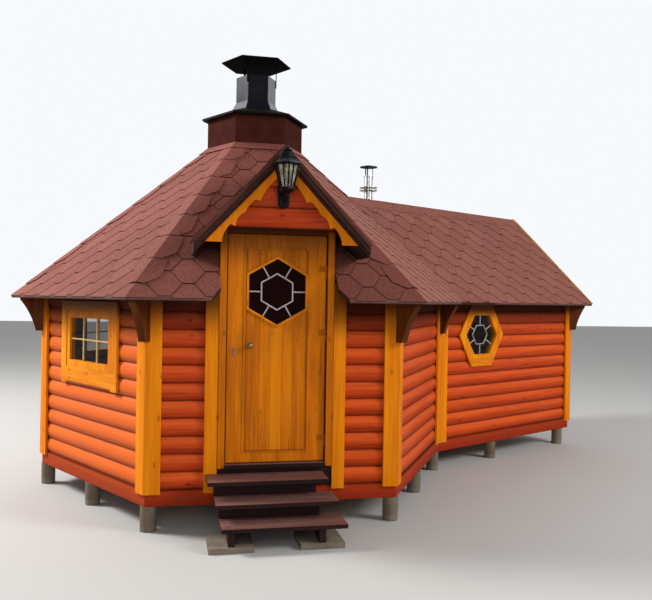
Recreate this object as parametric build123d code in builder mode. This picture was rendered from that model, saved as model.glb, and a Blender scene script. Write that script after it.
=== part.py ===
from build123d import *
from math import sqrt, sin, cos, tan, radians, ceil
import os

os.makedirs("parts", exist_ok=True)

# Plan: a regular hexagon whose front facet faces -Y, ground level at z = 0, millimetres.
# The extension leaves the facet between the right and the back right corner.
side = 1880
extension_length = 2485
joint_gap = 0.4

# Heights above ground
pier_height = 185
pier_radius = 60
end_pier_place = 145
beam_height = 114
log_pitch = 131
log_count = 12
plate_rise = 64
floor_thick = 28

# Log walls: flat inside, half round outside
log_bulge = 20
wall_depth = 25
log_gap = 0.2
beam_outset = 20
beam_depth = 95
bearer_width = 94
bearer_runs = (0, 970)
post_reach = 60
post_depth = 50
lintel_depth = 70
lintel_height = 95

# Roofs
roof_drop = 28
hut_pitch = 43.1
hut_overhang = 265
extension_pitch = 43.9
extension_overhang = 211
verge_overhang = 215
valley_lap = 20
porch_pitch = 47.1
porch_rise = 585
porch_half_width = 640
porch_front = 1950
porch_drop = 75
porch_boarding = 22
boarding_set_back = 30
porch_set_back = 60
gable_board = 148
gable_bulge = 11
barge_width = 87
barge_lap = 114
scallop = 253
slot_corner = (65, 80)

# Boards
board_thick = 20
corner_board_width = 121
corner_board_foot = 275
bracket_thick = 60
bracket_drop = 15
bracket_height = 282
bracket_foot = 46
bracket_reach = 184
end_bracket_reach = 155

# Door
leaf_width = 750
leaf_height = 1708
leaf_thick = 42
leaf_face = 1640
door_gap = 5
head_thick = 29
jamb_width = 55
jamb_front = 1672
jamb_back = 1560
sill_top = 480
sill_thick = 28
sill_nose = 18
casing_width = 96
swing_limit = 95
panel_width = 504
panel_low = 560
panel_drop = 96
bead = 16
pane_radius = 248
pane_drop = 427
hinge_heights = (640, 1440, 1925)
knob_place = (-203, 1365)

# Windows
window_width = 830
window_low = 1115
window_high = 1585
casing_band = 100
window_base_band = 127
window_head_band = 85
sash_band = 56
glass_thick = 6
side_window_place = 710
side_window_height = 1363
side_window_middle = 538
side_window_end = 262
side_window_rise = 208
side_sash_band = 28
side_casing_middle = 764
side_casing_end = 350
side_casing_rise = 336

# Steps
tread_depths = (265, 275, 275)
tread_shifts = (-80, -30, 0)
tread_gap = 5
tread_width = 872
tread_thick = 28
tread_rise = 125
tread_going = 141
stringer_places = (-365, 262)
stringer_thick = 45
stringer_drop = 265
riser_thick = 14
slab_size = 310
slab_thick = 40

# Smoke outlet and sauna flue
collar_radius = 454
collar_wall = 18
collar_lap = 60
collar_rise = 273
cap_radius = 508
cap_edge = 20
flare_radius = 235
cap_rise = 108
flare_rise = 83
duct_radius = 190
duct_rise = 243
duct_wall = 8
hat_radius = 334
hat_gap = 128
leg_overlap = 70
hat_edge = 10
hat_rise = 75
flue_radius = 50
flue_place = (1902, -350)
flue_wall = 4
flue_rise = 339
storm_ring_radius = 105
storm_ring_places = (170, 138)
socket_radius = 57
socket_place = 14
flue_cap_gap = 102
flue_cap_radius = 102

# Lantern on the porch gable
lantern_drop = 451
lantern_reach = 152
plate_wide = 92
plate_tall = 158
lantern_foot_radius = 50
lantern_cup = 40
lantern_glass_height = 166
lantern_roof_radius = 108
lantern_roof_height = 96

# Derived places
apothem = side * sqrt(3) / 2
beam_top = pier_height + beam_height
wall_top = beam_top + log_count * log_pitch
hut_slope = tan(radians(hut_pitch))
extension_slope = tan(radians(extension_pitch))
porch_slope = tan(radians(porch_pitch))
eave_height = wall_top + plate_rise - hut_overhang * hut_slope
eave_top = eave_height + roof_drop
eave_apothem = apothem + hut_overhang
collar_apothem = collar_radius * sqrt(3) / 2
collar_foot = eave_top + (eave_apothem - collar_apothem) * hut_slope
collar_top = collar_foot + collar_rise
flare_foot = collar_top + cap_rise
duct_foot = flare_foot + flare_rise
duct_top = duct_foot + duct_rise
hat_height = duct_top + hat_gap
extension_half = side / 2 + extension_overhang
ridge_height = eave_top + extension_half * extension_slope
extension_end = apothem + extension_length
door_half = leaf_width / 2 + door_gap
jamb_outer = door_half + jamb_width
leaf_low = sill_top + door_gap + 1
leaf_high = leaf_low + leaf_height
panel_high = leaf_high - panel_drop
pane_height = leaf_high - pane_drop
head_low = leaf_high + door_gap
head_high = head_low + head_thick
porch_apex = head_high + porch_rise
porch_under = porch_apex - porch_drop - porch_boarding
flue_top = ridge_height + flue_rise
flue_cap_height = flue_top + flue_cap_gap
beyond = 3 * side


def facing(angle):
    """Outward direction of a wall that faces this many degrees from +X."""
    return Vector(cos(radians(angle)), sin(radians(angle)), 0)


def along(angle):
    """Direction of that wall's run, from left to right seen from outside."""
    return Vector(-sin(radians(angle)), cos(radians(angle)), 0)


def face_plane(angle, spot, offset=0.0):
    """Plane on a wall through a spot: local x along the run, local y up, local z outward."""
    return Plane(origin=spot + facing(angle) * offset, x_dir=along(angle), z_dir=facing(angle))


def across_plane(angle, spot):
    """Plane across a wall: local x outward, local y up, extruding from right to left."""
    return Plane(origin=spot, x_dir=facing(angle), z_dir=along(angle) * -1)


def meet(spot, first, second, offset):
    """Where two walls' lines cross once both are moved outward by an offset."""
    total = facing(first) + facing(second)
    return spot + total * (offset / (1 + facing(first).dot(facing(second))))


def plan(points):
    """Closed outline through points of the plan."""
    Polyline(*[(p.X, p.Y) for p in points], close=True)


def hexagon_points(radius):
    return [facing(turn) * radius for turn in range(0, 360, 60)]


# The outline of the walls, corner by corner, anticlockwise seen from above
axis = facing(30)
spots = {
    "front_left": facing(240) * side,
    "front_right": facing(300) * side,
    "right": facing(0) * side,
    "end_front": facing(0) * side + axis * extension_length,
    "end_back": facing(60) * side + axis * extension_length,
    "back_right": facing(60) * side,
    "back_left": facing(120) * side,
    "left": facing(180) * side,
}
corner_names = list(spots)
wall_angles = [270, 330, 300, 30, 120, 90, 150, 210]
runs = []
for index, angle in enumerate(wall_angles):
    start, end = corner_names[index], corner_names[(index + 1) % 8]
    runs.append((angle, spots[start], spots[end], wall_angles[index - 1], wall_angles[(index + 1) % 8]))
wall_corners = [
    (spots[name], wall_angles[index - 1], wall_angles[index]) for index, name in enumerate(corner_names)
]

# Helper bodies: everything under the top and under the underside of each roof
with BuildPart() as hut_over:
    with BuildSketch(Plane.XY.offset(eave_height)):
        with BuildLine():
            plan(hexagon_points(eave_apothem / cos(radians(30))))
        make_face()
    extrude(amount=roof_drop)
    with BuildSketch(Plane.XY.offset(eave_top)):
        with BuildLine():
            plan(hexagon_points(eave_apothem / cos(radians(30))))
        make_face()
    with BuildSketch(Plane.XY.offset(eave_top + (eave_apothem - duct_radius) * hut_slope)):
        with BuildLine():
            plan(hexagon_points(duct_radius / cos(radians(30))))
        make_face()
    loft(ruled=True)
with BuildPart() as hut_under:
    with BuildSketch(Plane.XY.offset(beam_top)):
        with BuildLine():
            plan(hexagon_points(eave_apothem / cos(radians(30))))
        make_face()
    extrude(amount=eave_height - beam_top)
    with BuildSketch(Plane.XY.offset(eave_height)):
        with BuildLine():
            plan(hexagon_points(eave_apothem / cos(radians(30))))
        make_face()
    with BuildSketch(Plane.XY.offset(eave_height + (eave_apothem - duct_radius) * hut_slope)):
        with BuildLine():
            plan(hexagon_points(duct_radius / cos(radians(30))))
        make_face()
    loft(ruled=True)
gable_plane = across_plane(120, axis * (extension_end + verge_overhang))
with BuildPart() as extension_over:
    with BuildSketch(gable_plane):
        with BuildLine():
            Polyline(
                (-extension_half, eave_height),
                (extension_half, eave_height),
                (extension_half, eave_top),
                (0, ridge_height),
                (-extension_half, eave_top),
                close=True,
            )
        make_face()
    extrude(amount=-(extension_end + verge_overhang - collar_radius))
with BuildPart() as extension_under:
    with BuildSketch(gable_plane):
        with BuildLine():
            Polyline(
                (-extension_half, beam_top),
                (extension_half, beam_top),
                (extension_half, eave_height),
                (0, ridge_height - roof_drop),
                (-extension_half, eave_height),
                close=True,
            )
        make_face()
    extrude(amount=-(extension_end + verge_overhang - collar_radius))
porch_plane = Plane(origin=(0, -porch_front, 0), x_dir=(1, 0, 0), z_dir=(0, -1, 0))
with BuildPart() as porch_room:
    with BuildSketch(porch_plane):
        with BuildLine():
            edge = jamb_outer + joint_gap
            Polyline(
                (-edge, eave_height - 100),
                (edge, eave_height - 100),
                (edge, porch_under - edge * porch_slope),
                (0, porch_under),
                (-edge, porch_under - edge * porch_slope),
                close=True,
            )
        make_face()
    extrude(amount=-(porch_front - collar_radius))

# Round concrete piers under the corners and the middles of the ground beams
pier_line = -(beam_depth / 2 - beam_outset)
pier_spots = [Vector(0, 0, 0)]
for index, (spot, first, second) in enumerate(wall_corners):
    if index not in (3, 4):
        pier_spots.append(meet(spot, first, second, pier_line))
for angle, start, end, before, after in runs:
    if angle in (270, 330, 90, 150, 210):
        pier_spots.append((start + end) * 0.5 + facing(angle) * pier_line)
for angle in (300, 120):
    for run in (bearer_runs[1], extension_length - end_pier_place):
        pier_spots.append(axis * (apothem + run) + facing(angle) * (side / 2 + pier_line))
with BuildPart() as piers:
    with Locations(*[(spot.X, spot.Y, 0) for spot in pier_spots]):
        Cylinder(pier_radius, pier_height, align=(Align.CENTER, Align.CENTER, Align.MIN))
piers.part.label = "piers"
export_step(piers.part, "parts/piers.step")

# Two paving slabs that carry the steps
slab_front = leaf_face + 575
with BuildPart() as step_slabs:
    with Locations(*[(x, -slab_front, 0) for x in stringer_places]):
        Box(slab_size, slab_size, slab_thick, align=(Align.CENTER, Align.MIN, Align.MIN))
step_slabs.part.label = "step_slabs"
export_step(step_slabs.part, "parts/step_slabs.step")

# Squared ground beams, mitred at the corners, and one more between hut and extension
with BuildPart() as base_beams:
    for angle, start, end, before, after in runs:
        with BuildSketch(Plane.XY.offset(pier_height)):
            with BuildLine():
                gap = along(angle) * joint_gap
                inner = beam_outset - beam_depth
                plan([
                    meet(start, before, angle, inner) + gap,
                    meet(start, before, angle, beam_outset) + gap,
                    meet(end, angle, after, beam_outset) - gap,
                    meet(end, angle, after, inner) - gap,
                ])
            make_face()
        extrude(amount=beam_height)
    with BuildSketch(Plane.XY.offset(pier_height)):
        reach = side - (beam_depth - beam_outset + bearer_width / 4) / cos(radians(30)) - joint_gap
        Rectangle(2 * reach, bearer_width)
        for run in bearer_runs:
            place = axis * (apothem + run)
            with Locations(Location((place.X, place.Y, 0), (0, 0, 120))):
                Rectangle(side - 2 * (beam_depth - beam_outset + joint_gap), bearer_width)
    extrude(amount=beam_height)
base_beams.part.label = "base_beams"
export_step(base_beams.part, "parts/base_beams.step")


def post_outline(spot, first, second, reach, depth):
    """Plan of the post that fills a corner behind the boards."""
    return [
        spot,
        spot + along(second) * reach,
        spot + along(second) * reach - facing(second) * depth,
        meet(spot, first, second, -depth),
        spot - along(first) * reach - facing(first) * depth,
        spot - along(first) * reach,
    ]


# Inner posts that join the log walls at the corners
with BuildPart() as corner_posts:
    with BuildSketch(Plane.XY.offset(beam_top)):
        for spot, first, second in wall_corners:
            with BuildLine():
                plan(post_outline(spot, first, second, post_reach - joint_gap, post_depth))
            make_face()
    extrude(amount=wall_top - beam_top)
corner_posts.part.label = "corner_posts"
export_step(corner_posts.part, "parts/corner_posts.step")

# Board floors of hut and extension, notched around the posts
floors = []
for name in ("hut", "extension"):
    with BuildPart() as floor:
        with BuildSketch(Plane.XY.offset(beam_top)):
            with BuildLine():
                inset = wall_depth + joint_gap
                if name == "hut":
                    far = axis * (apothem - joint_gap)
                    reach = side / 2 - inset / cos(radians(30)) * 1.5
                    plan([
                        meet(spots["front_left"], 210, 270, -inset),
                        meet(spots["front_right"], 270, 330, -inset),
                        far - along(30) * reach,
                        far + along(30) * reach,
                        meet(spots["back_left"], 90, 150, -inset),
                        meet(spots["left"], 150, 210, -inset),
                    ])
                else:
                    reach = side / 2 - inset
                    near = axis * apothem
                    far = axis * (extension_end - inset)
                    plan([
                        near - along(30) * reach,
                        far - along(30) * reach,
                        far + along(30) * reach,
                        near + along(30) * reach,
                    ])
            make_face()
            for spot, first, second in wall_corners:
                with BuildLine():
                    plan(post_outline(spot, first, second, post_reach + joint_gap, post_depth + joint_gap))
                make_face(mode=Mode.SUBTRACT)
        extrude(amount=floor_thick)
    floors.append(floor.part)
with BuildPart() as floor_boards:
    add(floors)
floor_boards.part.label = "floor_boards"
export_step(floor_boards.part, "parts/floor_boards.step")


def log_outline(course):
    """Section of one half round log: x outward, flat inside and rounded outside."""
    low = beam_top + course * log_pitch + log_gap
    high = low + log_pitch - 2 * log_gap
    ThreePointArc((0, low), (log_bulge, (low + high) / 2), (0, high))
    Polyline((0, high), (-wall_depth, high), (-wall_depth, low), (0, low))


# Front wall, split beside the doorway
front = facing(270) * apothem
front_end = side / 2 - post_reach
beside_door = front_end - jamb_outer - joint_gap
with BuildPart() as front_wall:
    for right_end in (-jamb_outer - joint_gap, front_end):
        with BuildSketch(across_plane(270, front + along(270) * right_end)):
            for course in range(log_count):
                with BuildLine():
                    log_outline(course)
                make_face()
        extrude(amount=beside_door)
front_wall.part.label = "front_wall"
export_step(front_wall.part, "parts/front_wall.step")

# Whole walls of the hut; two of them have a window
for name, angle in (("left_wall", 210), ("back_left_wall", 150), ("back_wall", 90), ("right_wall", 330)):
    with BuildPart() as wall:
        with BuildSketch(across_plane(angle, facing(angle) * apothem + along(angle) * front_end)):
            for course in range(log_count):
                with BuildLine():
                    log_outline(course)
                make_face()
        extrude(amount=2 * front_end)
        if angle in (210, 150):
            with BuildSketch(face_plane(angle, facing(angle) * apothem, 60)):
                with Locations((0, (window_low + window_high) / 2)):
                    Rectangle(window_width, window_high - window_low)
            extrude(amount=-150, mode=Mode.SUBTRACT)
    wall.part.label = name
    export_step(wall.part, "parts/" + name + ".step")


def tall_hexagon(middle, end, rise, grow=0.0):
    """Hexagon with level top and bottom edges, grown outward by a margin on every side."""
    lean = (middle - end) / 2 / rise
    stretch = grow * sqrt(1 + lean * lean)
    half_middle = middle / 2 + stretch
    half_rise = rise + grow
    half_end = half_middle - half_rise * lean
    Polyline(
        (-half_middle, 0),
        (-half_end, -half_rise),
        (half_end, -half_rise),
        (half_middle, 0),
        (half_end, half_rise),
        (-half_end, half_rise),
        close=True,
    )


# Walls of the extension: the front one has the tall hexagonal window, the end one rises to the ridge
extension_mid = axis * (apothem + extension_length / 2)
extension_run = extension_length - 2 * post_reach
side_window_spot = axis * (apothem + side_window_place) + facing(300) * (side / 2)
with BuildPart() as extension_front_wall:
    with BuildSketch(across_plane(300, spots["end_front"] - along(300) * post_reach)):
        for course in range(log_count):
            with BuildLine():
                log_outline(course)
            make_face()
    extrude(amount=extension_run)
    with BuildSketch(face_plane(300, side_window_spot + Vector(0, 0, side_window_height), 60)):
        with BuildLine():
            tall_hexagon(side_window_middle, side_window_end, side_window_rise, side_sash_band + joint_gap)
        make_face()
    extrude(amount=-150, mode=Mode.SUBTRACT)
extension_front_wall.part.label = "extension_front_wall"
export_step(extension_front_wall.part, "parts/extension_front_wall.step")

with BuildPart() as extension_back_wall:
    with BuildSketch(across_plane(120, spots["back_right"] - along(120) * post_reach)):
        for course in range(log_count):
            with BuildLine():
                log_outline(course)
            make_face()
    extrude(amount=extension_run)
extension_back_wall.part.label = "extension_back_wall"
export_step(extension_back_wall.part, "parts/extension_back_wall.step")

gable_courses = ceil((ridge_height - beam_top) / log_pitch)
lowered = extension_under.part.moved(Pos(0, 0, -joint_gap))
with BuildPart() as extension_end_wall:
    with BuildSketch(across_plane(30, spots["end_back"] - along(30) * post_reach)):
        for course in range(gable_courses):
            with BuildLine():
                log_outline(course)
            make_face()
    extrude(amount=side - 2 * post_reach)
    with BuildSketch(across_plane(120, axis * (extension_end + verge_overhang))):
        with BuildLine():
            Polyline(
                (-extension_half, pier_height),
                (extension_half, pier_height),
                (extension_half, eave_height - joint_gap),
                (0, ridge_height - roof_drop - joint_gap),
                (-extension_half, eave_height - joint_gap),
                close=True,
            )
        make_face()
    extrude(amount=-2 * verge_overhang, mode=Mode.INTERSECT)
extension_end_wall.part.label = "extension_end_wall"
export_step(extension_end_wall.part, "parts/extension_end_wall.step")

# Plates on top of the walls, planed to the roofs' slopes; the front one stops beside the doorway
plate_depth = post_reach - joint_gap
plate_start = valley_lap + 1
with BuildPart() as hut_plates:
    for angle, start, end, before, after in runs:
        if angle in (300, 30, 120):
            continue
        with BuildSketch(Plane.XY.offset(wall_top)):
            with BuildLine():
                gap = along(angle) * joint_gap
                plan([
                    meet(start, before, angle, -plate_depth) + gap,
                    start + gap,
                    end - gap,
                    meet(end, angle, after, -plate_depth) - gap,
                ])
            make_face()
            if angle == 270:
                with Locations((0, -apothem)):
                    Rectangle(2 * (jamb_outer + joint_gap), 400, mode=Mode.SUBTRACT)
        extrude(amount=3 * plate_rise)
    add(hut_under.part.moved(Pos(0, 0, -joint_gap)), mode=Mode.INTERSECT)

with BuildPart() as extension_plates:
    for angle, start, end, before, after in runs:
        if angle not in (300, 120):
            continue
        with BuildSketch(Plane.XY.offset(wall_top)):
            with BuildLine():
                near, far = (start, end) if angle == 300 else (end, start)
                plan([
                    near + axis * plate_start - facing(angle) * plate_depth,
                    near + axis * plate_start,
                    far,
                    far - facing(angle) * plate_depth,
                ])
            make_face()
        extrude(amount=3 * plate_rise)
    add(lowered, mode=Mode.INTERSECT)
    with BuildSketch(Plane.XY.offset(wall_top - joint_gap)):
        with BuildLine():
            reach = side / 2 - post_depth - joint_gap
            plan([
                axis * (apothem - lintel_depth / 2) - along(30) * reach,
                axis * (apothem + lintel_depth / 2) - along(30) * reach,
                axis * (apothem + lintel_depth / 2) + along(30) * reach,
                axis * (apothem - lintel_depth / 2) + along(30) * reach,
            ])
        make_face()
    extrude(amount=-lintel_height)
with BuildPart() as wall_plates:
    add([hut_plates.part, extension_plates.part])
wall_plates.part.label = "wall_plates"
export_step(wall_plates.part, "parts/wall_plates.step")

# Pairs of stained boards on the outside of every corner
board_top = eave_height + (hut_overhang - log_bulge - board_thick) * min(hut_slope, extension_slope) - 60
with BuildPart() as corner_boards:
    with BuildSketch(Plane.XY.offset(corner_board_foot)):
        for spot, first, second in wall_corners:
            inner, outer = meet(spot, first, second, log_bulge), meet(spot, first, second, log_bulge + board_thick)
            for angle, turn in ((first, -1), (second, 1)):
                shift = along(angle) * (turn * joint_gap)
                wide = along(angle) * (turn * corner_board_width)
                with BuildLine():
                    plan([
                        inner + shift,
                        outer + shift,
                        outer + wide,
                        outer + wide - facing(angle) * board_thick,
                    ])
                make_face()
    extrude(amount=board_top - corner_board_foot)
corner_boards.part.label = "corner_boards"
export_step(corner_boards.part, "parts/corner_boards.step")

# Curved brackets under the eaves, on the diagonal of every corner, seated on the boards
with BuildPart() as board_line:
    with BuildSketch(Plane.XY.offset(corner_board_foot)):
        with BuildLine():
            plan([meet(spot, first, second, log_bulge + board_thick + joint_gap)
                  for spot, first, second in wall_corners])
        make_face()
    extrude(amount=beyond)
lowered_hut = hut_under.part.moved(Pos(0, 0, -joint_gap))
bracket_top = eave_height - bracket_drop
brackets = []
for index, (spot, first, second) in enumerate(wall_corners):
    tip = meet(spot, first, second, log_bulge + board_thick)
    lean = (facing(first) + facing(second)).normalized()
    with BuildPart() as bracket:
        with BuildSketch(Plane(origin=tip, x_dir=lean, z_dir=lean.cross(Vector(0, 0, 1)))):
            with BuildLine():
                low, high = bracket_top - bracket_height, bracket_top + 200
                reach = end_bracket_reach if index in (3, 4) else bracket_reach
                bend = (bracket_foot + (reach - bracket_foot) * 0.32, low + bracket_height * 0.46)
                ThreePointArc((bracket_foot, low), bend, (reach, bracket_top))
                Polyline((reach, bracket_top), (reach, high), (-40, high), (-40, low), (bracket_foot, low))
            make_face()
        extrude(amount=bracket_thick / 2, both=True)
        add(board_line.part, mode=Mode.SUBTRACT)
        if index not in (3, 4):
            add(lowered_hut, mode=Mode.INTERSECT)
        if index in (2, 3, 4, 5):
            add(lowered, mode=Mode.INTERSECT)
    brackets.append(bracket.part)
with BuildPart() as eaves_brackets:
    add(brackets)
eaves_brackets.part.label = "eaves_brackets"
export_step(eaves_brackets.part, "parts/eaves_brackets.step")

# Six facets of the hut's roof, cut for the smoke collar, the porch and the extension
facet_names = {"front": 270, "right": 330, "junction": 30, "back": 90, "back_left": 150, "left": 210}
with BuildPart() as extension_room:
    add(extension_over.part)
    with BuildSketch(across_plane(120, axis * (extension_end + 2 * verge_overhang))):
        Rectangle(beyond, 2 * beyond)
    extrude(amount=-(extension_length + 2 * verge_overhang - valley_lap), mode=Mode.INTERSECT)
facets = []
for name, angle in facet_names.items():
    with BuildPart() as facet:
        add(hut_over.part)
        add(hut_under.part, mode=Mode.SUBTRACT)
        with BuildSketch(Plane.XY):
            with BuildLine():
                tip = facing(angle) * joint_gap
                plan([tip, tip + facing(angle - 30) * beyond, tip + facing(angle + 30) * beyond])
            make_face()
        extrude(amount=beyond, mode=Mode.INTERSECT)
        with BuildSketch(Plane.XY):
            with BuildLine():
                plan(hexagon_points(collar_radius + joint_gap))
            make_face()
        extrude(amount=beyond, mode=Mode.SUBTRACT)
        if name == "front":
            add(porch_room.part, mode=Mode.SUBTRACT)
            with BuildSketch(Plane.XY):
                for turn in (-1, 1):
                    edge = jamb_outer
                    with BuildLine():
                        Polyline(
                            (turn * edge, -eave_apothem - 1),
                            (turn * (edge + slot_corner[0]), -eave_apothem - 1),
                            (turn * edge, -eave_apothem + slot_corner[1]),
                            close=True,
                        )
                    make_face()
            extrude(amount=head_high, mode=Mode.SUBTRACT)
        if name in ("right", "junction", "back"):
            add(extension_room.part, mode=Mode.SUBTRACT)
    facets.append(facet.part)
with BuildPart() as hut_roof:
    add(facets)
hut_roof.part.label = "hut_roof"
export_step(hut_roof.part, "parts/hut_roof.step")

# Two slopes of the extension's roof, which run up against the hut's roof
flue_spot = axis * flue_place[0] + facing(300) * flue_place[1]
with BuildPart() as hut_roof_body:
    add(hut_over.part)
    with BuildSketch(across_plane(120, axis * (apothem + valley_lap + joint_gap))):
        Rectangle(beyond, 2 * beyond)
    extrude(amount=-beyond, mode=Mode.INTERSECT)
slopes = []
for turn in (-1, 1):
    with BuildPart() as slope:
        add(extension_over.part)
        add(extension_under.part, mode=Mode.SUBTRACT)
        add(hut_roof_body.part, mode=Mode.SUBTRACT)
        with BuildSketch(Plane.XY):
            with BuildLine():
                plan([
                    along(30) * (turn * joint_gap),
                    along(30) * (turn * beyond),
                    along(30) * (turn * beyond) + axis * beyond,
                    along(30) * (turn * joint_gap) + axis * beyond,
                ])
            make_face()
        extrude(amount=beyond, mode=Mode.INTERSECT)
        if turn == 1:
            with Locations((flue_spot.X, flue_spot.Y, wall_top)):
                Cylinder(
                    flue_radius + joint_gap,
                    beyond,
                    align=(Align.CENTER, Align.CENTER, Align.MIN),
                    mode=Mode.SUBTRACT,
                )
    slopes.append(slope.part)
with BuildPart() as extension_roof:
    add(slopes)
extension_roof.part.label = "extension_roof"
export_step(extension_roof.part, "parts/extension_roof.step")

# Two slopes of the porch roof over the door
slopes = []
for turn in (-1, 1):
    with BuildPart() as slope:
        with BuildSketch(porch_plane):
            with BuildLine():
                near = joint_gap
                Polyline(
                    (turn * near, porch_apex - near * porch_slope),
                    (turn * porch_half_width, porch_apex - porch_half_width * porch_slope),
                    (turn * porch_half_width, porch_apex - porch_half_width * porch_slope - porch_drop),
                    (turn * near, porch_apex - near * porch_slope - porch_drop),
                    close=True,
                )
            make_face()
        extrude(amount=-(porch_front - collar_radius))
        with BuildSketch(porch_plane.offset(-boarding_set_back)):
            with BuildLine():
                drop = porch_drop - 1
                Polyline(
                    (turn * near, porch_apex - near * porch_slope - drop),
                    (turn * porch_half_width, porch_apex - porch_half_width * porch_slope - drop),
                    (turn * porch_half_width, porch_under - porch_half_width * porch_slope),
                    (turn * near, porch_under - near * porch_slope),
                    close=True,
                )
            make_face()
        extrude(amount=-(porch_front - boarding_set_back - collar_radius))
        add(hut_over.part.moved(Pos(0, 0, joint_gap)), mode=Mode.SUBTRACT)
    slopes.append(slope.part)
with BuildPart() as porch_roof:
    add(slopes)
porch_roof.part.label = "porch_roof"
export_step(porch_roof.part, "parts/porch_roof.step")

# Cheeks that close the porch's sides between the door frame and the roof
with BuildPart() as porch_cheeks:
    for turn in (-1, 1):
        with BuildSketch(Plane(origin=(turn * jamb_outer, 0, 0), x_dir=(0, 1, 0), z_dir=(1, 0, 0))):
            with BuildLine():
                high = porch_under - jamb_outer * porch_slope - joint_gap
                near = -jamb_back + joint_gap
                low = eave_height + (eave_apothem + near) * hut_slope
                far = -eave_apothem + (high - eave_height) / hut_slope
                Polyline((near, low), (near, high), (far, high), close=True)
            make_face()
        extrude(amount=-turn * 18)
porch_cheeks.part.label = "porch_cheeks"
export_step(porch_cheeks.part, "parts/porch_cheeks.step")

# Gable of the porch: boards turned half round like the logs, cut to the roof's slopes
gable_face = porch_front - porch_set_back - board_thick
gable_back = gable_face - board_thick
soffit_low = head_high
under = porch_under - 0.8
with BuildPart() as porch_gable:
    for course in range(ceil((under - soffit_low) / gable_board)):
        low = soffit_low + course * gable_board
        high = min(low + gable_board - joint_gap, under)
        with BuildSketch(Plane(origin=(-porch_half_width, 0, 0), x_dir=(0, 1, 0), z_dir=(1, 0, 0))):
            with BuildLine():
                Polyline(
                    (gable_bulge - gable_face, low),
                    (-gable_back, low),
                    (-gable_back, high),
                    (gable_bulge - gable_face, high),
                )
                ThreePointArc(
                    (gable_bulge - gable_face, low),
                    (-gable_face, (low + high) / 2),
                    (gable_bulge - gable_face, high),
                )
            make_face()
        extrude(amount=2 * porch_half_width)
    with BuildSketch(Plane(origin=(0, -gable_face - 1, 0), x_dir=(1, 0, 0), z_dir=(0, -1, 0))):
        with BuildLine():
            Polyline(
                (-(under - soffit_low) / porch_slope, soffit_low),
                ((under - soffit_low) / porch_slope, soffit_low),
                (0, under),
                close=True,
            )
        make_face()
    extrude(amount=-board_thick - 2, mode=Mode.INTERSECT)
porch_gable.part.label = "porch_gable"
export_step(porch_gable.part, "parts/porch_gable.step")

with BuildPart() as porch_soffit:
    with BuildSketch(Plane.XY.offset(soffit_low)):
        with Locations((0, -(gable_face - board_thick + jamb_back) / 2)):
            Rectangle(2 * jamb_outer - 40, gable_face - board_thick - jamb_back - 1)
    extrude(amount=18)
porch_soffit.part.label = "porch_soffit"
export_step(porch_soffit.part, "parts/porch_soffit.step")

# Scalloped barge boards of the porch, cut level at the foot
barge_foot = soffit_low - barge_lap
with BuildPart() as porch_barge_boards:
    for turn in (-1, 1):
        plane = Plane(origin=(0, -gable_face, 0), x_dir=(1, 0, 0), z_dir=(0, -1, 0))
        with BuildSketch(plane):
            with BuildLine():
                line_top = porch_under - 0.8
                run = Vector(turn * cos(radians(porch_pitch)), -sin(radians(porch_pitch)))
                inward = Vector(-turn * sin(radians(porch_pitch)), -cos(radians(porch_pitch)))
                crown = Vector(turn * 1.0, line_top - porch_slope * 1.0)

                def board_point(distance, width):
                    spot = crown + run * distance + inward * width
                    return (spot.X, spot.Y)

                foot_upper = (crown.Y - barge_foot) / sin(radians(porch_pitch))
                foot_lower = (crown.Y - barge_foot - barge_width * cos(radians(porch_pitch))) / sin(radians(porch_pitch))
                cusps = [foot_lower - 150 - scallop * step for step in (0, 1)]
                Polyline(board_point(0, 0), board_point(foot_upper, 0), board_point(foot_lower, barge_width))
                ThreePointArc(
                    board_point(foot_lower, barge_width),
                    board_point(foot_lower - 95, 46),
                    board_point(cusps[0] + 14, 44),
                )
                Line(board_point(cusps[0] + 14, 44), board_point(cusps[0], 80))
                last = cusps[0]
                ThreePointArc(board_point(last, 80), board_point(last - 55, 52), board_point(last - 120, 60))
                ThreePointArc(
                    board_point(last - 120, 60), board_point(last - 185, 48), board_point(cusps[1] + 14, 50)
                )
                Line(board_point(cusps[1] + 14, 50), board_point(cusps[1], 80))
                ThreePointArc(
                    board_point(cusps[1], 80),
                    board_point((cusps[1] + 60) / 2, 54),
                    board_point(60 * porch_slope, 60),
                )
                Line(board_point(60 * porch_slope, 60), board_point(0, 0))
            make_face()
        extrude(amount=board_thick)
porch_barge_boards.part.label = "porch_barge_boards"
export_step(porch_barge_boards.part, "parts/porch_barge_boards.step")

# Barge boards under the extension's verge
with BuildPart() as extension_barge_boards:
    with BuildSketch(across_plane(120, axis * (extension_end + verge_overhang - 30))):
        for turn in (-1, 1):
            under = ridge_height - roof_drop - 1.2
            with BuildLine():
                Polyline(
                    (turn, under - extension_slope),
                    (turn * (extension_half - 2), under - extension_slope * (extension_half - 2)),
                    (turn * (extension_half - 2 - 60), under - extension_slope * (extension_half - 2)),
                    (turn, under - 100),
                    close=True,
                )
            make_face()
    extrude(amount=board_thick)
extension_barge_boards.part.label = "extension_barge_boards"
export_step(extension_barge_boards.part, "parts/extension_barge_boards.step")

# Door: sill block, threshold, frame and outer casing boards
with BuildPart() as door_sill:
    with BuildSketch(Plane.XY.offset(beam_top)):
        with Locations((0, -apothem - (log_bulge - wall_depth) / 2)):
            Rectangle(2 * jamb_outer, log_bulge + wall_depth)
    extrude(amount=sill_top - sill_thick - beam_top)
door_sill.part.label = "door_sill"
export_step(door_sill.part, "parts/door_sill.step")

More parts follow.
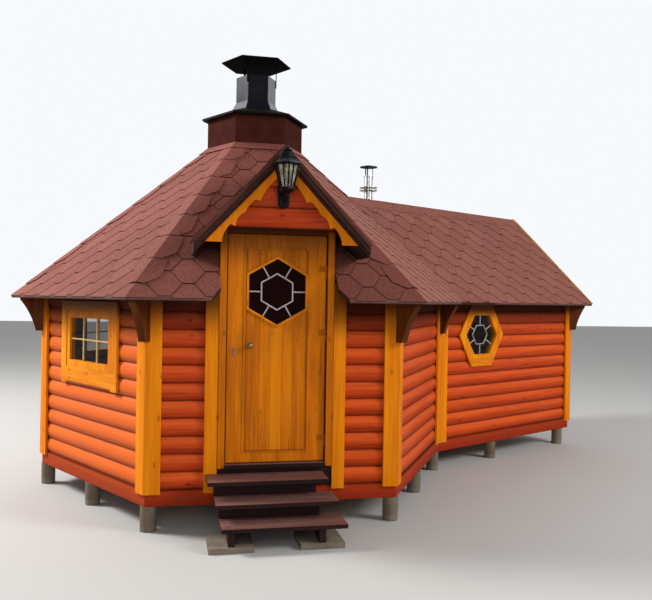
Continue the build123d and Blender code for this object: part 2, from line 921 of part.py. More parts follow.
with BuildPart() as threshold:
    with BuildSketch(Plane.XY.offset(sill_top - sill_thick)):
        with Locations((0, -(jamb_front + sill_nose + jamb_back) / 2)):
            Rectangle(2 * (door_half - joint_gap), jamb_front + sill_nose - jamb_back)
    extrude(amount=sill_thick)
threshold.part.label = "threshold"
export_step(threshold.part, "parts/threshold.step")

with BuildPart() as door_frame:
    frame_plane = Plane(origin=(0, -jamb_back, 0), x_dir=(1, 0, 0), z_dir=(0, -1, 0))
    with BuildSketch(frame_plane):
        with BuildLine():
            low = sill_top - sill_thick
            Polyline(
                (-jamb_outer, low),
                (-door_half, low),
                (-door_half, head_low),
                (door_half, head_low),
                (door_half, low),
                (jamb_outer, low),
                (jamb_outer, head_high - 1),
                (-jamb_outer, head_high - 1),
                close=True,
            )
        make_face()
    extrude(amount=jamb_front - jamb_back)
    with BuildSketch(frame_plane):
        for turn in (-1, 1):
            with Locations((turn * (door_half - 9), (sill_top + head_low) / 2)):
                Rectangle(18, head_low - sill_top - 1)
    extrude(amount=leaf_face - leaf_thick - jamb_back - 5)
door_frame.part.label = "door_frame"
export_step(door_frame.part, "parts/door_frame.step")

casing_top = board_top
with BuildPart() as door_casing:
    with BuildSketch(face_plane(270, front, log_bulge)):
        for turn in (-1, 1):
            with Locations((turn * (jamb_outer + joint_gap + casing_width / 2), (corner_board_foot + casing_top) / 2)):
                Rectangle(casing_width, casing_top - corner_board_foot)
    extrude(amount=board_thick)
door_casing.part.label = "door_casing"
export_step(door_casing.part, "parts/door_casing.step")

# Door leaf with one tall panel and a hexagonal pane
leaf_plane = Plane(origin=(0, -leaf_face, 0), x_dir=(1, 0, 0), z_dir=(0, -1, 0))
with BuildPart() as door_leaf:
    with BuildSketch(leaf_plane):
        with Locations((0, (leaf_low + leaf_high) / 2)):
            Rectangle(leaf_width, leaf_height)
    extrude(amount=-leaf_thick)
    panel_mid = (panel_low + panel_high) / 2
    with BuildSketch(leaf_plane):
        with Locations((0, panel_mid)):
            Rectangle(panel_width, panel_high - panel_low)
            Rectangle(panel_width - 2 * bead, panel_high - panel_low - 2 * bead, mode=Mode.SUBTRACT)
    extrude(amount=5)
    with BuildSketch(leaf_plane):
        with Locations((0, panel_mid)):
            Rectangle(panel_width - 2 * bead, panel_high - panel_low - 2 * bead)
    extrude(amount=-5, mode=Mode.SUBTRACT)
    with BuildSketch(leaf_plane.offset(-5)):
        with Locations((0, pane_height)):
            RegularPolygon(pane_radius + bead, 6, rotation=90)
    extrude(amount=9)
    with BuildSketch(leaf_plane.offset(20)):
        with Locations((0, pane_height)):
            RegularPolygon(pane_radius, 6, rotation=90)
    extrude(amount=-leaf_thick - 40, mode=Mode.SUBTRACT)
door_leaf.part.label = "door_leaf"
export_step(door_leaf.part, "parts/door_leaf.step")

with BuildPart() as door_glass:
    with BuildSketch(leaf_plane.offset(-leaf_thick / 2 + glass_thick / 2)):
        with Locations((0, pane_height)):
            RegularPolygon(pane_radius - 0.2, 6, rotation=90)
    extrude(amount=-glass_thick)
door_glass.part.label = "door_glass"
export_step(door_glass.part, "parts/door_glass.step")

# Round knobs on both faces, with a rose each
with BuildPart() as door_knob:
    for turn, face in ((-1, -leaf_face + 5), (1, -leaf_face + leaf_thick)):
        with BuildSketch(Plane(origin=(knob_place[0], face, knob_place[1]), x_dir=(1, 0, 0), z_dir=(0, turn, 0))):
            Circle(24)
        extrude(amount=6)
        with BuildSketch(Plane(origin=(knob_place[0], face, knob_place[1]), x_dir=(1, 0, 0), z_dir=(0, turn, 0))):
            Circle(10)
        extrude(amount=30)
        with Locations((knob_place[0], face + turn * 45, knob_place[1])):
            Sphere(23)
door_knob.part.label = "door_knob"
export_step(door_knob.part, "parts/door_knob.step")

# Butt hinges: the upper knuckles and their flaps turn with the leaf, the lower ones stay on the frame
pin_x = leaf_width / 2 - 2
pin_y = -leaf_face - 6.2
knuckle = 45
with BuildPart() as door_hinges:
    for height in hinge_heights:
        with Locations((pin_x, pin_y, height + joint_gap / 2)):
            Cylinder(6, knuckle, align=(Align.CENTER, Align.CENTER, Align.MIN))
        with Locations((pin_x - 1, -leaf_face, height + joint_gap / 2)):
            Box(56, 2.6, knuckle, align=(Align.MAX, Align.MAX, Align.MIN))
door_hinges.part.label = "door_hinges"
export_step(door_hinges.part, "parts/door_hinges.step")

with BuildPart() as frame_hinges:
    for height in hinge_heights:
        with Locations((pin_x, pin_y, height - joint_gap / 2)):
            Cylinder(6, knuckle, align=(Align.CENTER, Align.CENTER, Align.MAX))
        with Locations((door_half - joint_gap, pin_y, height - joint_gap / 2)):
            Box(2, 42, knuckle, align=(Align.MAX, Align.MIN, Align.MAX))
frame_hinges.part.label = "frame_hinges"
export_step(frame_hinges.part, "parts/frame_hinges.step")

# Casings, sashes and glass of the two large windows
with BuildPart() as window_casings:
    for angle in (210, 150):
        with BuildSketch(face_plane(angle, facing(angle) * apothem, log_bulge)):
            for turn in (-1, 1):
                low, high = window_low - window_base_band - 18, window_high + window_head_band
                with Locations((turn * (window_width / 2 + casing_band / 2 + joint_gap), (low + high) / 2)):
                    Rectangle(casing_band, high - low)
            with Locations((0, window_low - window_base_band / 2)):
                Rectangle(window_width, window_base_band)
            with Locations((0, window_high + window_head_band / 2)):
                Rectangle(window_width, window_head_band)
        extrude(amount=board_thick)
    with BuildSketch(face_plane(300, side_window_spot + Vector(0, 0, side_window_height), log_bulge)):
        with BuildLine():
            tall_hexagon(side_casing_middle, side_casing_end, side_casing_rise)
        make_face()
        with BuildLine():
            tall_hexagon(side_window_middle, side_window_end, side_window_rise)
        make_face(mode=Mode.SUBTRACT)
    extrude(amount=board_thick)
window_casings.part.label = "window_casings"
export_step(window_casings.part, "parts/window_casings.step")

with BuildPart() as window_sashes:
    for angle in (210, 150):
        with BuildSketch(face_plane(angle, facing(angle) * apothem, 34)):
            middle = (window_low + window_high) / 2
            wide, tall = window_width - 2 * joint_gap, window_high - window_low - 2 * joint_gap
            for turn in (-1, 1):
                with Locations((turn * (wide - sash_band) / 2, middle)):
                    Rectangle(sash_band, tall)
                with Locations((0, middle + turn * (tall - sash_band) / 2)):
                    Rectangle(wide - 2 * sash_band - 2 * joint_gap, sash_band)
        extrude(amount=-48)
    with BuildSketch(face_plane(300, side_window_spot + Vector(0, 0, side_window_height), log_bulge - joint_gap)):
        with BuildLine():
            tall_hexagon(side_window_middle, side_window_end, side_window_rise, side_sash_band)
        make_face()
        with BuildLine():
            tall_hexagon(side_window_middle, side_window_end, side_window_rise)
        make_face(mode=Mode.SUBTRACT)
    extrude(amount=-log_bulge - wall_depth)
window_sashes.part.label = "window_sashes"
export_step(window_sashes.part, "parts/window_sashes.step")

with BuildPart() as window_glass:
    for angle in (210, 150):
        with BuildSketch(face_plane(angle, facing(angle) * apothem, 14)):
            with Locations((0, (window_low + window_high) / 2)):
                Rectangle(
                    window_width - 2.4 - 2 * sash_band, window_high - window_low - 2.4 - 2 * sash_band
                )
        extrude(amount=-glass_thick)
    with BuildSketch(face_plane(300, side_window_spot + Vector(0, 0, side_window_height), 8)):
        with BuildLine():
            tall_hexagon(side_window_middle, side_window_end, side_window_rise, -0.2)
        make_face()
    extrude(amount=-glass_thick)
window_glass.part.label = "window_glass"
export_step(window_glass.part, "parts/window_glass.step")

# Steps: two notched stringers, three deep treads and the riser boards set back under them
top_front = apothem + log_bulge + board_thick + tread_gap + tread_depths[0]
first_tread = slab_thick + tread_rise * len(tread_depths)
tread_fronts = [top_front + step * tread_going for step in range(len(tread_depths))]
tread_backs = [front - depth for front, depth in zip(tread_fronts, tread_depths)]
stringer_back = apothem + beam_outset + joint_gap
leg_front = tread_fronts[-1] - 20
notches = [back - joint_gap for back in tread_backs[1:]] + [leg_front]
with BuildPart() as stringers:
    for x in stringer_places:
        with BuildSketch(Plane(origin=(x, 0, 0), x_dir=(0, -1, 0), z_dir=(-1, 0, 0))):
            with BuildLine():
                points = [(stringer_back, first_tread - tread_thick)]
                for step, notch in enumerate(notches):
                    seat = first_tread - tread_thick - step * tread_rise
                    points += [(notch, seat), (notch, seat - tread_rise)]
                points[-1] = (leg_front, slab_thick)
                points += [(leg_front - 110, slab_thick), (stringer_back, first_tread - stringer_drop)]
                Polyline(*points, close=True)
            make_face()
        extrude(amount=stringer_thick / 2, both=True)
stringers.part.label = "stringers"
export_step(stringers.part, "parts/stringers.step")

riser_end = stringer_places[1] + stringer_thick / 2
with BuildPart() as treads:
    for step, depth in enumerate(tread_depths):
        with Locations((tread_shifts[step], -tread_fronts[step], first_tread - step * tread_rise)):
            Box(tread_width, depth, tread_thick, align=(Align.CENTER, Align.MIN, Align.MAX))
    for step, back in enumerate(tread_backs[1:]):
        foot = first_tread - (step + 1) * tread_rise + joint_gap
        reach = riser_end - (tread_shifts[step + 1] - tread_width / 2)
        with Locations((riser_end, -back, foot)):
            Box(reach, riser_thick, tread_rise - tread_thick - 2 * joint_gap, align=(Align.MAX, Align.MAX, Align.MIN))
treads.part.label = "treads"
export_step(treads.part, "parts/treads.step")

# Hexagonal collar of the smoke outlet, its flanged cap, the duct and the rain hat
with BuildPart() as smoke_collar:
    with BuildSketch(Plane.XY.offset(collar_foot - collar_lap)):
        with BuildLine():
            plan(hexagon_points(collar_radius))
        make_face()
        with BuildLine():
            plan(hexagon_points(collar_radius - collar_wall))
        make_face(mode=Mode.SUBTRACT)
    extrude(amount=collar_rise + collar_lap)
smoke_collar.part.label = "smoke_collar"
export_step(smoke_collar.part, "parts/smoke_collar.step")

with BuildPart() as collar_cap:
    with BuildSketch(Plane.XY.offset(collar_top)):
        with BuildLine():
            plan(hexagon_points(cap_radius))
        make_face()
    extrude(amount=cap_edge)
    with BuildSketch(Plane.XY.offset(collar_top + cap_edge)):
        with BuildLine():
            plan(hexagon_points(cap_radius))
        make_face()
    with BuildSketch(Plane.XY.offset(flare_foot)):
        with BuildLine():
            plan(hexagon_points(flare_radius))
        make_face()
    loft(ruled=True)
    with BuildSketch(Plane.XY.offset(collar_top)):
        with BuildLine():
            plan(hexagon_points(duct_radius - duct_wall))
        make_face()
    extrude(amount=flare_foot - collar_top, mode=Mode.SUBTRACT)
collar_cap.part.label = "collar_cap"
export_step(collar_cap.part, "parts/collar_cap.step")

with BuildPart() as smoke_duct:
    with BuildSketch(Plane.XY.offset(flare_foot)):
        with BuildLine():
            plan(hexagon_points(flare_radius))
        make_face()
    with BuildSketch(Plane.XY.offset(duct_foot)):
        with BuildLine():
            plan(hexagon_points(duct_radius))
        make_face()
    loft(ruled=True)
    with BuildSketch(Plane.XY.offset(duct_foot)):
        with BuildLine():
            plan(hexagon_points(duct_radius))
        make_face()
    extrude(amount=duct_top - duct_foot)
    with BuildSketch(Plane.XY.offset(flare_foot)):
        with BuildLine():
            plan(hexagon_points(duct_radius - duct_wall))
        make_face()
    extrude(amount=duct_top - flare_foot, mode=Mode.SUBTRACT)
smoke_duct.part.label = "smoke_duct"
export_step(smoke_duct.part, "parts/smoke_duct.step")

with BuildPart() as rain_hat:
    with BuildSketch(Plane.XY.offset(hat_height)):
        with BuildLine():
            plan(hexagon_points(hat_radius))
        make_face()
    extrude(amount=hat_edge)
    with BuildSketch(Plane.XY.offset(hat_height + hat_edge)):
        with BuildLine():
            plan(hexagon_points(hat_radius))
        make_face()
    with BuildSketch(Plane.XY.offset(hat_height + hat_rise)):
        with BuildLine():
            plan(hexagon_points(24))
        make_face()
    loft(ruled=True)
    for turn in (0, 120, 240):
        leg = Plane(origin=facing(turn) * (duct_radius + 0.2), x_dir=along(turn), z_dir=(0, 0, 1))
        with BuildSketch(leg.offset(duct_top - leg_overlap)):
            Rectangle(24, 5, align=(Align.CENTER, Align.MAX))
        extrude(amount=hat_height - duct_top + leg_overlap)
rain_hat.part.label = "rain_hat"
export_step(rain_hat.part, "parts/rain_hat.step")

# Round flue of the sauna stove behind the ridge, with storm rings and a cap
flue_foot = ridge_height + flue_place[1] * extension_slope - 150
with BuildPart() as sauna_flue:
    with Locations((flue_spot.X, flue_spot.Y, flue_foot)):
        Cylinder(flue_radius, flue_top - flue_foot, align=(Align.CENTER, Align.CENTER, Align.MIN))
        Cylinder(
            flue_radius - flue_wall, flue_top - flue_foot, align=(Align.CENTER, Align.CENTER, Align.MIN), mode=Mode.SUBTRACT
        )
    rings = [(flue_top - place, storm_ring_radius, 6) for place in storm_ring_places]
    rings.append((flue_top - socket_place, socket_radius, socket_place))
    for height, radius, thick in rings:
        with BuildSketch(Plane(origin=(flue_spot.X, flue_spot.Y, height))):
            Circle(radius)
            Circle(flue_radius - 2, mode=Mode.SUBTRACT)
        extrude(amount=thick)
    with BuildSketch(Plane(origin=(flue_spot.X, flue_spot.Y, flue_top - socket_place - 46))):
        with PolarLocations(flue_radius - 1, 3):
            Rectangle(4, 14)
    extrude(amount=flue_cap_height - flue_top + socket_place + 46)
    with BuildSketch(Plane(origin=(flue_spot.X, flue_spot.Y, flue_cap_height))):
        Circle(flue_cap_radius)
    extrude(amount=6)
    with BuildSketch(Plane(origin=(flue_spot.X, flue_spot.Y, flue_cap_height + 6))):
        Circle(flue_cap_radius)
    with BuildSketch(Plane(origin=(flue_spot.X, flue_spot.Y, flue_cap_height + 26))):
        Circle(8)
    loft(ruled=True)
sauna_flue.part.label = "sauna_flue"
export_step(sauna_flue.part, "parts/sauna_flue.step")

# Lantern on a bracket at the porch gable
lantern_foot = porch_apex - lantern_drop
lantern_y = -(gable_face + lantern_reach)
with BuildPart() as lantern:
    with BuildSketch(Plane(origin=(0, -gable_face - joint_gap, 0), x_dir=(1, 0, 0), z_dir=(0, -1, 0))):
        with BuildLine():
            low, high = lantern_foot, lantern_foot + plate_tall
            Polyline(
                (-plate_wide * 0.32, low),
                (plate_wide * 0.32, low),
                (plate_wide / 2, low + plate_wide * 0.4),
                (plate_wide / 2, high),
                (-plate_wide / 2, high),
                (-plate_wide / 2, low + plate_wide * 0.4),
                close=True,
            )
        make_face()
    extrude(amount=14)
    arm_height = lantern_foot + plate_tall * 0.68
    with BuildSketch(Plane(origin=(0, -gable_face - joint_gap, arm_height), x_dir=(1, 0, 0), z_dir=(0, -1, 0))):
        Rectangle(24, 24)
    extrude(amount=lantern_reach + 12)
    cup_low = arm_height - 12
    with BuildSketch(Plane(origin=(0, lantern_y, cup_low))):
        RegularPolygon(lantern_foot_radius, 6)
    extrude(amount=lantern_cup)
    roof_low = cup_low + lantern_cup + lantern_glass_height
    with BuildSketch(Plane(origin=(0, lantern_y, roof_low))):
        RegularPolygon(lantern_roof_radius, 6)
    with BuildSketch(Plane(origin=(0, lantern_y, roof_low + lantern_roof_height))):
        RegularPolygon(lantern_roof_radius / 4, 6)
    loft(ruled=True)
    with BuildSketch(Plane(origin=(0, lantern_y, roof_low + lantern_roof_height))):
        Circle(9)
    extrude(amount=34)
    for turn in range(0, 360, 60):
        foot = facing(turn) * (lantern_foot_radius - 4) + Vector(0, lantern_y, cup_low + lantern_cup - 4)
        head = facing(turn) * (lantern_roof_radius - 20) + Vector(0, lantern_y, roof_low + 4)
        with BuildSketch(Plane(origin=foot, z_dir=head - foot)):
            Circle(5)
        extrude(amount=(head - foot).length)
lantern.part.label = "lantern"
export_step(lantern.part, "parts/lantern.step")

with BuildPart() as lantern_glass:
    with BuildSketch(Plane(origin=(0, lantern_y, cup_low + lantern_cup + joint_gap))):
        RegularPolygon(lantern_foot_radius - 10, 6)
    with BuildSketch(Plane(origin=(0, lantern_y, roof_low - joint_gap))):
        RegularPolygon(lantern_roof_radius - 29, 6)
    loft(ruled=True)
lantern_glass.part.label = "lantern_glass"
export_step(lantern_glass.part, "parts/lantern_glass.step")
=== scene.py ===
from math import cos, floor, radians, sin, sqrt, tan

import bmesh
import bpy
from mathutils import Matrix, Vector


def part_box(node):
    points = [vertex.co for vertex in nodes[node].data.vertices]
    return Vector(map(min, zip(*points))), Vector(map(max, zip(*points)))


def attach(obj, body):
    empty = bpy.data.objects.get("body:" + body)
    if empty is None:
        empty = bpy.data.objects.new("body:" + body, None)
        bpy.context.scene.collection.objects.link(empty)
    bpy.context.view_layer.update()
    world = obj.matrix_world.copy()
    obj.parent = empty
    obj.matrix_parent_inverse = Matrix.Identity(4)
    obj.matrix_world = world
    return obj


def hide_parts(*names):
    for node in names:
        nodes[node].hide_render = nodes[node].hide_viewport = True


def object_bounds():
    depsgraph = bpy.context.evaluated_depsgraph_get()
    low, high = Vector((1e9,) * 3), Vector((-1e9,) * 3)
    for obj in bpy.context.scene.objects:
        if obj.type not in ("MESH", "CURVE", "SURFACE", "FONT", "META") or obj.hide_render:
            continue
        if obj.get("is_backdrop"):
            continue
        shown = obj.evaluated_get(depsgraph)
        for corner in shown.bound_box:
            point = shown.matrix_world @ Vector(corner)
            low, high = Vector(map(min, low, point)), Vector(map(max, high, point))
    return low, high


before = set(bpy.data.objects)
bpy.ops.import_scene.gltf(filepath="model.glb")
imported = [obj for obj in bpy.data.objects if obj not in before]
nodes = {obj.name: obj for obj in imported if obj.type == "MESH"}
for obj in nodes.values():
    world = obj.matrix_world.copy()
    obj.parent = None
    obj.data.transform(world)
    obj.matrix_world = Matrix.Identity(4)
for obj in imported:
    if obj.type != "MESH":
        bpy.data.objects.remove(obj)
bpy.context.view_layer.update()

# The stand for the picture: a pale floor under soft sky light, stronger from the left, and the
# eye at 1.7 m above the ground, a little left of the door. Nothing here belongs to the hut.
scene = bpy.context.scene
scene.view_settings.view_transform = "Standard"
yaw, pitch, roll = radians(78.04), radians(-0.04), radians(0.92)
ahead = Vector((cos(yaw) * cos(pitch), sin(yaw) * cos(pitch), sin(pitch)))
level = Vector((sin(yaw), -cos(yaw), 0))
upright = level.cross(ahead)
eye_right = level * cos(roll) + upright * sin(roll)
eye_up = upright * cos(roll) - level * sin(roll)
turn = Matrix((eye_right, eye_up, -ahead)).transposed().to_4x4()
bpy.ops.object.camera_add()
camera = bpy.context.object
camera.matrix_world = Matrix.Translation((-0.8224, -7.2943, 1.7154)) @ turn
camera.data.sensor_width = 36
camera.data.lens = 41.77
scene.camera = camera

bpy.ops.mesh.primitive_plane_add(size=90)
floor_sheet = bpy.context.object
floor_sheet.name = "floor"
floor_sheet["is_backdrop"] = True
pale = bpy.data.materials.new("pale floor")
pale.use_nodes = True
pale_surface = pale.node_tree.nodes["Principled BSDF"]
pale_surface.inputs["Base Color"].default_value = (0.44, 0.43, 0.41, 1)
pale_surface.inputs["Roughness"].default_value = 0.9
floor_sheet.data.materials.append(pale)

sky = bpy.data.worlds.new("soft sky")
sky.use_nodes = True
sky_nodes, sky_links = sky.node_tree.nodes, sky.node_tree.links
sky_nodes["Background"].inputs["Color"].default_value = (0.95, 0.97, 1.0, 1)
split = sky_nodes.new("ShaderNodeSeparateXYZ")
behind = sky_nodes.new("ShaderNodeMapRange")
for socket, value in (("From Min", -0.2), ("From Max", 0.6), ("To Min", 0.31), ("To Max", 0.98)):
    behind.inputs[socket].default_value = value
sky_links.new(sky_nodes.new("ShaderNodeTexCoord").outputs["Generated"], split.inputs[0])
sky_links.new(split.outputs["Y"], behind.inputs["Value"])
sky_links.new(behind.outputs[0], sky_nodes["Background"].inputs["Strength"])
scene.world = sky
for name, spot, aim, size, power in (
    ("left light", (-9.5, 2.3, 8.2), (0, 0, 1.6), 3.0, 2050),
    ("front light", (-1.5, -11.0, 4.0), (0.3, 0, 1.2), 4.0, 225),
    ("right light", (10.0, -7.0, 7.0), (2.0, 0, 1.5), 4.0, 1100),
):
    bpy.ops.object.light_add(type="AREA", location=spot)
    lamp = bpy.context.object
    lamp.name = name
    lamp.data.size = size
    lamp.data.energy = power
    lamp.rotation_mode = "QUATERNION"
    lamp.rotation_quaternion = (Vector(spot) - Vector(aim)).to_track_quat("Z", "Y")


# Concrete piers and step slabs: round piers cast in tubes and small square slabs, grey with
# fine sand and a few air holes, darker where they meet the damp ground.
class Wire:
    """The output of a node in a material, which can be added to, multiplied and so on."""

    def __init__(self, socket):
        self.socket = socket

    def node(self, kind, settings, values, out=0):
        tree = self.socket.id_data
        made = tree.nodes.new("ShaderNode" + kind)
        for name, value in settings.items():
            if name == "stops":
                ramp = made.color_ramp.elements
                ramp[0].position, ramp[0].color = value[0][0], (*value[0][1], 1)
                ramp[1].position, ramp[1].color = value[-1][0], (*value[-1][1], 1)
                for place, colour in value[1:-1]:
                    ramp.new(place).color = (*colour, 1)
            else:
                setattr(made, name, value)
        for name, value in values.items():
            if isinstance(value, Wire):
                tree.links.new(value.socket, made.inputs[name])
            else:
                made.inputs[name].default_value = value
        return Wire(made.outputs[out])

    def math(self, operation, *others):
        return self.node("Math", {"operation": operation}, dict(enumerate((self, *others))))

    def __add__(self, other):
        return self.math("ADD", other)

    def __sub__(self, other):
        return self.math("SUBTRACT", other)

    def __rsub__(self, other):
        return self.node("Math", {"operation": "SUBTRACT"}, {0: other, 1: self})

    def __mul__(self, other):
        return self.math("MULTIPLY", other)

    def __truediv__(self, other):
        return self.math("DIVIDE", other)

    def __gt__(self, other):
        return self.math("GREATER_THAN", other)

    def __lt__(self, other):
        return self.math("LESS_THAN", other)

    __radd__ = __add__
    __rmul__ = __mul__

    def between(self, low, high):
        """0 at low, 1 at high, and smooth from one to the other."""
        smooth = {"interpolation_type": "SMOOTHSTEP"}
        return self.node("MapRange", smooth, {0: self, 1: low, 2: high})

    def to_joint(self):
        """How far the value is from the nearest whole number."""
        part = self.math("FRACT")
        return part.math("MINIMUM", 1 - part)

    def tint(self, other, share):
        """This colour, with that share of the other one laid over it."""
        other = other if isinstance(other, Wire) else (*other, 1)
        return self.node("Mix", {"data_type": "RGBA"}, {0: share, 6: self, 7: other}, 2)

    def layers(self, *layers):
        """This colour under several others, each with its share."""
        for other, share in layers:
            self = self.tint(other, share)
        return self

    def ramp(self, *stops):
        """The colour that the (place, colour) stops give this value."""
        return self.node("ValToRGB", {"stops": stops}, {0: self})

    def noise(self, scale, detail=3.0, rough=0.5):
        values = {"Vector": self, "Scale": scale, "Detail": detail, "Roughness": rough}
        return self.node("TexNoise", {}, values)

    def point(self, x, y, z):
        """A place made of three values, in the same material."""
        return self.node("CombineXYZ", {}, {0: x, 1: y, 2: z})

    def dot(self, other):
        return self.node("VectorMath", {"operation": "DOT_PRODUCT"}, {0: self, 1: other}, 1)

    def xyz(self):
        """The three parts of a place or a direction."""
        return self.dot((1, 0, 0)), self.dot((0, 1, 0)), self.dot((0, 0, 1))


def new_finish(name, **fixed):
    """A material, its surface shader and the place on the object, with the fixed sockets set."""
    finish = bpy.data.materials.new(name)
    finish.use_nodes = True
    surface = finish.node_tree.nodes["Principled BSDF"]
    for socket, value in fixed.items():
        surface.inputs[socket.replace("_", " ")].default_value = value
    place = Wire(finish.node_tree.nodes.new("ShaderNodeTexCoord").outputs["Object"])
    return finish, surface, place


def true_normal(surface):
    """The normal of the flat face itself, in the directions of the shared frame."""
    return Wire(surface.id_data.nodes.new("ShaderNodeNewGeometry").outputs["True Normal"])


def connect(surface, relief, **ends):
    """Joins wires to the surface shader; the relief is (height, distance in metres, strength)."""
    values = dict(zip(("Height", "Distance", "Strength"), relief))
    ends["Normal"] = relief[0].node("Bump", {}, values)
    for socket, wire in ends.items():
        surface.id_data.links.new(wire.socket, surface.inputs[socket.replace("_", " ")])


def dress(finish, *names):
    """Gives CAD nodes their finish."""
    for name in names:
        mesh = nodes[name].data
        if not mesh.materials:
            mesh.materials.append(finish)
        for index in range(len(mesh.materials)):
            mesh.materials[index] = finish


concrete, surface, place = new_finish("cast concrete")
run, deep, height = place.xyz()
cloud = place.noise(6, 4, 0.6)
sand = place.noise(170, 2, 0.6)
holes = place.node("TexVoronoi", {}, {"Scale": 38, "Randomness": 1}).between(0.10, 0.16)
damp = (height + cloud * 0.05).between(0.07, 0.0)
grey = cloud.ramp((0.3, (0.115, 0.088, 0.060)), (0.7, (0.205, 0.165, 0.118))).layers(
    ((0.27, 0.22, 0.16), sand.between(0.5, 0.75) * 0.5),
    ((0.07, 0.06, 0.05), (1 - holes) * 0.7),
    ((0.10, 0.08, 0.06), damp * 0.35),
    ((0.055, 0.032, 0.010), (height > 0.045) * 0.30),
)
connect(surface, (sand * 0.3 + holes, 0.002, 0.5), Base_Color=grey, Roughness=0.95 - damp * 0.25)
dress(concrete, "piers", "step_slabs")


# Log walls and base beams: pine logs turned half round on the outside, with two coats of a
# clear red stain, so the grain, the knots and a little gloss show. The beams are the same wood.
log_pitch, wall_foot, beam_top = 0.131, 0.299, 0.298


def grain(place, run, across, seed):
    """Streaks, slow bands and knots of softwood that runs one way, as three wires from 0 to 1."""
    along = place.point(run * 1.6, across * 1.0, seed)
    wander = along.noise(1.6, 2) - 0.5
    waved = (across + wander * 0.035) * 62
    streaks = place.point(run * 2.2, waved, seed * 7.3).noise(1.0, 4, 0.62)
    bands = place.point(run * 0.7, across * 9, seed * 3.1).noise(1.0, 3, 0.55)
    cell = place.point(run * 3.4, across * 7.6, seed)
    flat, values = {"voronoi_dimensions": "2D"}, {"Vector": cell, "Scale": 1.0}
    near, lot = [cell.node("TexVoronoi", flat, values, out) for out in (0, 1)]
    knots = near.between(0.10, 0.05) * (lot.dot((1, 0, 0)) > 0.66)
    return streaks, bands, knots


def level_along(face):
    """The level direction along a wall, from the normal of its face."""
    level = face.node("VectorMath", {"operation": "CROSS_PRODUCT"}, {0: (0, 0, 1), 1: face})
    return level.node("VectorMath", {"operation": "NORMALIZE"}, {0: level})


def red_stain(streaks, bands):
    """The clear red stain, which the grain shows through."""
    return bands.ramp((0.25, (0.33, 0.024, 0.003)), (0.75, (0.54, 0.050, 0.005))).layers(
        ((0.66, 0.100, 0.008), streaks.between(0.46, 0.66) * 0.42),
        ((0.19, 0.010, 0.001), streaks.between(0.46, 0.32) * 0.5),
    )


logs, surface, place = new_finish("red stained logs", Specular_IOR_Level=0.10)
face = true_normal(surface)
sideways = level_along(face)
run, height = place.dot(sideways), place.dot((0, 0, 1))
beam = height < beam_top
course = (height - wall_foot) / log_pitch
index = course.math("FLOOR")
wall = sideways.node("VectorMath", {"operation": "SNAP"}, {0: sideways, 1: (0.3, 0.3, 0.3)})
lot = wall.node("TexWhiteNoise", {"noise_dimensions": "4D"}, {"Vector": wall, "W": index})
streaks, bands, knots = grain(place, run, height, lot * 9 + index)
rise, groove = course.math("FRACT"), course.to_joint().between(0.085, 0.0)
# Painted light and shade: each half-round log is darker towards its lower side and paler across
# its upper middle, as if lit from above.
painted_underside_shade, crown = rise.between(0.50, 0.02), rise.between(0.42, 0.72) * rise.between(1.0, 0.84)
# Painted light: walls that face left, towards the strongest lamp, are tinted a paler orange.
painted_sunlit_side = face.dot((-0.866, -0.5, 0)).between(0.6, 0.95)
eaves_shade = (height + bands * 0.05).between(1.37, 1.67) * (face.dot((0.866, 0.5, 0)) < 0.6)
worn = (height + bands * 0.16).between(0.44, 0.30)
red = red_stain(streaks, bands).layers(
    ((0.60, 0.075, 0.006), lot * 0.35),
    ((0.11, 0.012, 0.004), knots * 0.75),
    ((0.84, 0.185, 0.014), painted_sunlit_side * (0.33 + streaks * 0.15)),
    ((0.10, 0.007, 0.001), painted_underside_shade * 0.42),
    ((0.80, 0.150, 0.016), crown * 0.24),
    ((0.05, 0.005, 0.001), groove * 0.72),
    ((0.026, 0.003, 0.001), eaves_shade * 0.94),
    ((0.17, 0.045, 0.020), worn * streaks.between(0.35, 0.6) * 0.55),
    ((0.20, 0.003, 0.0003), beam * 0.55),
)
shine = 0.38 + streaks * 0.16 + groove * 0.25 + eaves_shade * 0.4 + beam * 0.3
connect(surface, (streaks * 0.5 + knots * 0.5, 0.0015, 0.35), Base_Color=red, Roughness=shine)
dress(logs, *[name for name in nodes if name.endswith("_wall")], "base_beams")


# Planed boards: corner boards, door frame, casings, sashes and barge boards with a yellow
# stain, brackets and soffit made near black as painted shade, and plain ones inside. Their grain
# stands upright, and lies on the boards above and below the windows.
def planed(name, dark, mid, light, flat=None, shade=None, gloss=0.46):
    """Stained board with upright grain; flat gives 1 where it lies, shade where it is dark."""
    finish, surface, place = new_finish(name, Specular_IOR_Level=0.07)
    run, height = place.dot(level_along(true_normal(surface))), place.dot((0, 0, 1))
    along, across = height, run
    if flat:
        swap = (run - height) * flat(place)
        along, across = height + swap, run - swap
    seed = (place.dot((1, 0, 0)) * 2.1).math("FLOOR")
    streaks, bands, knots = grain(place, along, across, seed)
    colour = bands.ramp((0.28, dark), (0.5, mid), (0.72, light)).layers(
        (light, streaks.between(0.48, 0.68) * 0.4),
        (dark, streaks.between(0.46, 0.30) * 0.5),
        ((dark[0] * 0.35, dark[1] * 0.25, dark[2] * 0.3), knots * 0.5),
    )
    if shade:
        colour = colour.tint((dark[0] * 0.10, dark[1] * 0.09, dark[2] * 0.2), shade(place))
    connect(surface, (streaks, 0.001, 0.25), Base_Color=colour, Roughness=gloss + streaks * 0.18)
    return finish


def painted_eaves_shade(place):
    """Painted shade: darker where the eaves shade the boards, and less so further down."""
    return place.dot((0, 0, 1)).between(1.36, 1.70) * 0.85


def painted_frame_shade(place):
    """Painted shade: dark along both edges of the frame, and under the head of the porch."""
    side = place.dot((1, 0, 0)).math("ABSOLUTE")
    edge = side.between(0.4275, 0.4345) + side.between(0.3850, 0.3795)
    head = place.dot((0, 0, 1)).between(1.85, 2.20)
    return (edge * 0.75 + head * 0.6).math("MINIMUM", 0.92)


